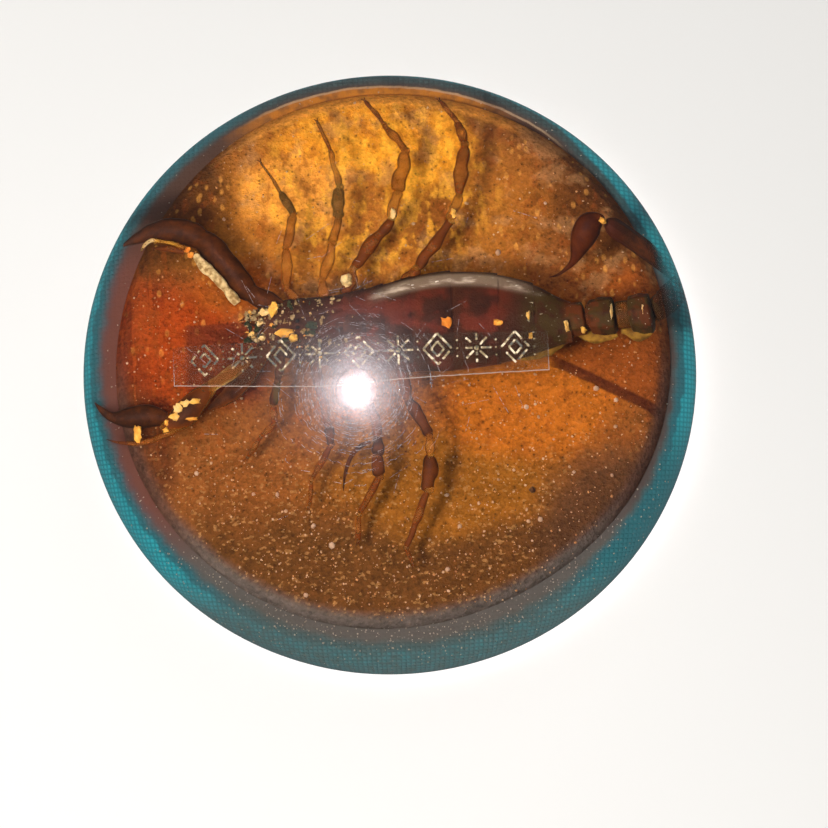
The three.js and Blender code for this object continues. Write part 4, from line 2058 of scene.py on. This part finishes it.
@dataclass
class HeadCrumbs:
    """Crumbs of flesh and dark scales that have gathered over the broken-up head."""

    shield: HeadShield
    dice: random.Random = field(default_factory=lambda: random.Random(23))
    bright_count: int = 26
    dull_count: int = 190
    dark_count: int = 34

    def build(self) -> list[Object]:
        """Builds the bright and dull crumbs and the dark scales."""
        dice = self.dice
        bright, dull, dark = Draft(), Draft(), Draft()
        for number in range(self.bright_count):
            size = 0.05 + 0.13 * dice.random() ** 2
            self._crumb(bright, number, size, 9.0, dice.choice((0.0, 0.2, 0.5, 0.8, 1.2)))
        for number in range(self.dull_count):
            self._crumb(dull, number, 0.05 + 0.17 * dice.random() ** 3, 11.5)
        for number in range(self.dark_count):
            self._crumb(dark, number, 0.10 + 0.24 * dice.random() ** 2, 7.0)
        return [
            dress(bright, "bright_crumbs", Palette.TISSUE, "dry_tissue"),
            dress(dull, "dull_crumbs", Palette.CRUMB, "dry_tissue"),
            dress(dark, "dark_scales", Palette.SCALE, "body_shell"),
        ]

    def _crumb(self, draft: Draft, number: int, size: float, spread: float, tone: float = 0.0) -> None:
        """Adds one crumb lying on the shield or just before it, within a spread from the front.

        Args:
            draft: where it goes.
            number: which crumb it is.
            size: its half size.
            spread: how far back crumbs lie.
            tone: how dark it is.
        """
        dice = self.dice
        x = -14.8 + spread * dice.random() ** 1.4
        middle, half = self.shield.line.at(x)
        y = middle + half * dice.uniform(-1.05, 1.05)
        z = self.shield.top_z(x, y) + size * 0.2
        half_sizes = tuple(size * dice.uniform(0.5, 1.7) for _ in range(3))
        draft.blob((x, y, z), half_sizes, tone, number * 2.3, 1.3)


@dataclass
class BrokenTip:
    """A dark curved sliver broken off one leg, caught beside it in the resin."""

    stops: tuple[Stop, ...] = limb_run(
        (-2.3, -9.6, 7.9, 0.16, 0.9), (-3.2, -9.9, 7.9, 0.26, 0.95), (-4.3, -10.8, 7.5, 0.24, 0.95),
        (-5.0, -12.4, 7.0, 0.18, 0.95), (-5.3, -14.2, 6.5, 0.03, 1.0),
    )

    def build(self) -> Object:
        """Builds the sliver."""
        draft = Draft()
        draft.sweep(self.stops, steps=6, sides=10, flat=0.7)
        return dress(draft, "broken_leg_tip", Palette.LIMB, "limb_shell")


# ---- label film and scuffs


@dataclass
class FoilBorder:
    """A plain border of gold foil: lozenges, dots and rosettes in turn, rubbed through in places."""

    left: float
    right: float
    y: float
    z: float
    end_gap: float = 1.5
    motifs: int = 9
    line: float = 0.11
    draft: Draft = field(default_factory=Draft)
    dice: random.Random = field(default_factory=lambda: random.Random(8))

    def build(self) -> Object:
        """Builds the border."""
        span = (self.right - self.left - 2 * self.end_gap) / self.motifs
        for number in range(self.motifs):
            x = self.left + self.end_gap + span * (number + 0.5)
            if number % 2 == 0:
                self._lozenge(x, 1.5, 1.7)
                self._lozenge(x, 0.7, 0.8)
            else:
                self._rosette(x)
            for way in (-1, 0, 1):
                self._dot(x + span / 2, self.y + way * 0.85, 0.12)
        return present(self.draft.finish("foil_border", PressedFoil().material(), 40.0), "gold_foil")

    def _stroke(self, start: Pair, end: Pair) -> None:
        """Adds one thin raised bar of foil.

        Args:
            start: one end.
            end: the other end.
        """
        ahead = Vector((end[0] - start[0], end[1] - start[1], 0)).normalized()
        side = Vector((-ahead.y, ahead.x, 0)) * self.line
        corners = [Vector((*start, 0)) - side, Vector((*start, 0)) + side]
        corners += [Vector((*end, 0)) + side, Vector((*end, 0)) - side]
        under, over = (
            self.draft.ring([(c.x, c.y, self.z + raised) for c in corners]) for raised in (0.005, 0.05)
        )
        self.draft.skin(under, over)
        self.draft.faces += [tuple(under), tuple(over)]

    def _broken_line(self, start: Pair, end: Pair) -> None:
        """Adds a line of short strokes, with some of them rubbed away.

        Args:
            start: one end.
            end: the other end.
        """
        pieces = max(2, round(dist(start, end) / 0.4))
        for piece in range(pieces):
            if self.dice.random() < 0.16:
                continue
            a = [start[i] + (end[i] - start[i]) * piece / pieces for i in range(2)]
            b = [start[i] + (end[i] - start[i]) * (piece + 0.94) / pieces for i in range(2)]
            self._stroke((a[0], a[1]), (b[0], b[1]))

    def _lozenge(self, x: float, wide: float, tall: float) -> None:
        """Adds a lozenge outline.

        Args:
            x: its middle.
            wide: its half width.
            tall: its half height.
        """
        corners = [(x - wide, self.y), (x, self.y + tall), (x + wide, self.y), (x, self.y - tall)]
        for start, end in zip(corners, corners[1:] + corners[:1]):
            self._broken_line(start, end)

    def _rosette(self, x: float) -> None:
        """Adds an eight-rayed rosette with a dot in the middle.

        Args:
            x: its middle.
        """
        for ray in range(8):
            angle = TURN * ray / 8
            way = (cos(angle), sin(angle))
            start = (x + way[0] * 0.45, self.y + way[1] * 0.45)
            self._broken_line(start, (x + way[0] * 1.6, self.y + way[1] * 1.6))
        self._dot(x, self.y, 0.28)

    def _dot(self, x: float, y: float, half: float) -> None:
        """Adds a round dot."""
        self.draft.blob((x, y, self.z + 0.03), (half, half, 0.05), 0.0, x, 0.1)


@dataclass
class LabelFilm:
    """The clear strip under the crown, with a plain foil border pattern pressed on it."""

    left: float = -23.3
    right: float = 16.9
    low_run: tuple[Pair, ...] = (
        (-24.0, -3.8), (-15.0, -4.4), (-8.0, -4.8), (-5.0, -4.8), (1.0, -4.35), (17.0, -3.85),
    )
    high: float = 0.45
    z: float = 13.2
    foil_y: float = -1.25
    thickness: float = 0.12
    edge: float = 0.05

    def build(self) -> list[Object]:
        """Builds the strip and its foil."""
        return [self._strip(), FoilBorder(self.left, self.right, self.foil_y, self.z).build()]

    def _strip(self) -> Object:
        """The strip, with a whiter line along its cut edges."""
        draft = Draft()
        under, wide = self.z - self.thickness, self.edge * 2
        section = (
            (wide, under, 0.0),
            (self.edge, under, 1.0),
            (0.0, under, 1.0),
            (0.0, self.z, 1.0),
            (self.edge, self.z, 1.0),
            (wide, self.z, 0.0),
        )
        rows = []
        for inset, z, tone in section:
            edge = self._outline(inset, z)
            rows.append(draft.ring(edge, [tone if place[1] < self.foil_y else 0.0 for place in edge]))
        draft.skins(rows)
        middle = ((self.left + self.right) / 2, self.foil_y)
        draft.fan(rows[-1], draft.point((*middle, self.z)))
        draft.fan(rows[0], draft.point((*middle, under)))
        return present(draft.finish("label_film", ClearFilm().material(), 40.0), "film")

    def _low(self, x: float) -> float:
        """Where the strip's lower edge runs.

        Args:
            x: the place along the strip.

        Returns:
            The edge's y.
        """
        for (x0, y0), (x1, y1) in zip(self.low_run, self.low_run[1:]):
            if x <= x1:
                return y0 + (y1 - y0) * (x - x0) / (x1 - x0)
        return self.low_run[-1][1]

    def _outline(self, inset: float, z: float) -> list[Place]:
        """The strip's edge, a little ragged, drawn in by an inset.

        Args:
            inset: how far it is drawn in.
            z: its height.

        Returns:
            Its points in order.
        """
        steps = 60
        line = []
        for step in range(steps):
            x = self.left + inset + (self.right - self.left - 2 * inset) * step / steps
            line.append((x, self._low(x) + inset + 0.06 * noise.noise(Vector((x, 0, 1))), z))
        line.append((self.right - inset, self._low(self.right) + inset, z))
        for step in range(steps):
            x = self.right - inset - (self.right - self.left - 2 * inset) * step / steps
            line.append((x, self.high - inset + 0.06 * noise.noise(Vector((x, 5, 1))), z))
        line.append((self.left + inset, self.high - inset, z))
        return line


@dataclass
class CrownScuffs:
    """Hairline scratches worn into the crown, most of them curling round the spot where the flash lamp's
    highlight falls, so that their whitish colour is partly painted highlight.
    """

    dome: ResinDome
    # Where the flash lamp's highlight falls on the crown.
    centre: Pair = (-3.9, -9.4)
    count: int = 760
    seed: int = 77
    half_width: float = 0.021
    rise: float = 0.012

    def build(self) -> Object:
        """Builds the scratches."""
        draft = Draft()
        dice = random.Random(self.seed)
        for number in range(self.count):
            if number % 12:
                reach = 2.2 + abs(dice.gauss(0, 1)) * 3.1
                start = dice.uniform(0, TURN)
                sweep = dice.uniform(0.6, 3.2) / reach * dice.choice((-1, 1))
                line = [
                    self._round(reach + dice.uniform(-0.1, 0.1), start + sweep * step / 5)
                    for step in range(6)
                ]
            else:
                x, y = dice.gauss(self.centre[0], 8), dice.gauss(self.centre[1] + 4, 7)
                angle, length = dice.uniform(0, pi), dice.uniform(1, 4)
                line = [
                    (x + cos(angle) * length * step / 5, y + sin(angle) * length * step / 5)
                    for step in range(6)
                ]
            self._scratch(draft, line, self.half_width * dice.uniform(0.6, 1.3))
        scuffs = draft.finish("crown_scratches_and_glints", Scuff().material(), 180.0)
        scuffs.visible_shadow = False
        return present(scuffs, "clear_resin")

    def _round(self, reach: float, angle: float) -> Pair:
        """A point on a circle round the highlight's spot."""
        return self.centre[0] + reach * cos(angle), self.centre[1] + reach * sin(angle)

    def _scratch(self, draft: Draft, line: Sequence[Pair], width: float) -> None:
        """Adds one three-sided sliver along a line on the crown.

        Args:
            draft: where it goes.
            line: the points that it follows.
            width: its half width.
        """
        rings = []
        for index, (x, y) in enumerate(line):
            before, after = line[max(index - 1, 0)], line[min(index + 1, len(line) - 1)]
            ahead = Vector((after[0] - before[0], after[1] - before[1], 0)).normalized()
            side = Vector((-ahead.y, ahead.x, 0)) * width
            z = self.dome.surface_z(x, y)
            rings.append(
                draft.ring([(x - side.x, y - side.y, z), (x, y, z + self.rise), (x + side.x, y + side.y, z)])
            )
        draft.skins(rings)
        draft.faces.append(tuple(rings[0]))
        draft.faces.append(tuple(rings[-1]))


# ---- studio


@dataclass
class Lamp:
    """One soft lamp: where it stands, how wide it is and how strong."""

    name: str
    place: Place
    size: float
    watts: float
    colour: Colour = (1.0, 1.0, 1.0)
    mirrored: bool = True
    lights: bool = True

    def build(self, target: Place) -> None:
        """Adds the lamp, turned to a target.

        Args:
            target: what it points at.
        """
        data = bpy.data.lights.new(self.name, "AREA")
        data.shape = "DISK"
        data.size = self.size * MM
        data.energy = self.watts
        data.color = self.colour
        lamp = bpy.data.objects.new(self.name, data)
        lamp.location = Vector(self.place) * MM
        way = (Vector(target) - Vector(self.place)).normalized()
        lamp.rotation_mode = "QUATERNION"
        lamp.rotation_quaternion = way.to_track_quat("-Z", "Y")
        lamp.visible_glossy = self.mirrored
        lamp.visible_diffuse = self.lights
        lamp.visible_transmission = False
        bpy.context.scene.collection.objects.link(lamp)


@dataclass
class Studio:
    """The pale floor, the lamps and the camera."""

    frame_px: int = 828
    scale_px: float = 7.87
    tilt: float = 16.0
    distance: float = 260.0
    aim: Place = (2.79, -4.46, 0.0)
    sensor: float = 36.0
    target: Place = (0.0, 0.0, 8.0)
    lamps: tuple[Lamp, ...] = (
        Lamp("key", (-230.0, -230.0, 610.0), 120.0, 5.1, (1.0, 0.97, 0.93), mirrored=False),
        Lamp("flash", (-51.0, -32.0, 325.0), 35.0, 1.45, (1.0, 0.90, 0.96), lights=False),
        Lamp("fill", (260.0, 420.0, 520.0), 420.0, 0.45, (0.95, 0.98, 1.0), mirrored=False),
    )
    sky: Colour = (0.92, 0.95, 1.0)
    sky_strength: float = 0.085

    def build(self) -> None:
        """Builds the studio."""
        self._floor()
        self._sky()
        for lamp in self.lamps:
            lamp.build(self.target)
        self._camera()
        bpy.context.scene.view_settings.view_transform = "Standard"

    def _floor(self) -> None:
        """Lays the floor under the pad."""
        half = 2500.0
        draft = Draft()
        corners = [(-half, -half, 0), (half, -half, 0), (half, half, 0), (-half, half, 0)]
        draft.faces.append(tuple(draft.ring(corners)))
        floor = draft.finish("floor", PaleFloor().material())
        floor.visible_glossy = False

    def _sky(self) -> None:
        """Lights the studio evenly from all round."""
        world = bpy.data.worlds.new("studio_sky")
        world.use_nodes = True
        background = world.node_tree.nodes["Background"]
        background.inputs["Color"].default_value = (*self.sky, 1.0)
        background.inputs["Strength"].default_value = self.sky_strength
        bpy.context.scene.world = world

    def _camera(self) -> None:
        """Sets the camera above the dome, leaning towards -Y."""
        lean = radians(self.tilt)
        place = Vector((0, -sin(lean), cos(lean))) * self.distance
        data = bpy.data.cameras.new("camera")
        data.sensor_width = self.sensor
        data.lens = self.sensor * self.distance / (self.frame_px / self.scale_px)
        data.clip_start = 0.01
        camera = bpy.data.objects.new("camera", data)
        camera.location = place * MM
        camera.rotation_mode = "QUATERNION"
        camera.rotation_quaternion = (Vector(self.aim) - place).to_track_quat("-Z", "Y")
        bpy.context.scene.collection.objects.link(camera)
        bpy.context.scene.camera = camera


def main() -> None:
    """Builds the studio and every piece of the paperweight, in order."""
    logging.basicConfig(level=logging.INFO, format="%(name)s %(message)s")
    noise.seed_set(SHRINK_SEED)
    Studio().build()
    bed = SandBed()
    bed.build()
    dome = ResinDome(bed)
    dome.build()
    BasePad().build()
    Grit(bed).build()
    line = BodyLine()
    shield = HeadShield(line)
    shield.build()
    Trunk(line).build()
    Tail().build()
    for leg in LEGS:
        leg.build()
    for claw in (UPPER_CLAW, LOWER_CLAW):
        claw.build()
    Mouthparts().build()
    Combs().build()
    DryTissue().build()
    HeadCrumbs(shield).build()
    BrokenTip().build()
    LabelFilm().build()
    CrownScuffs(dome).build()


if __name__ == "__main__":
    main()
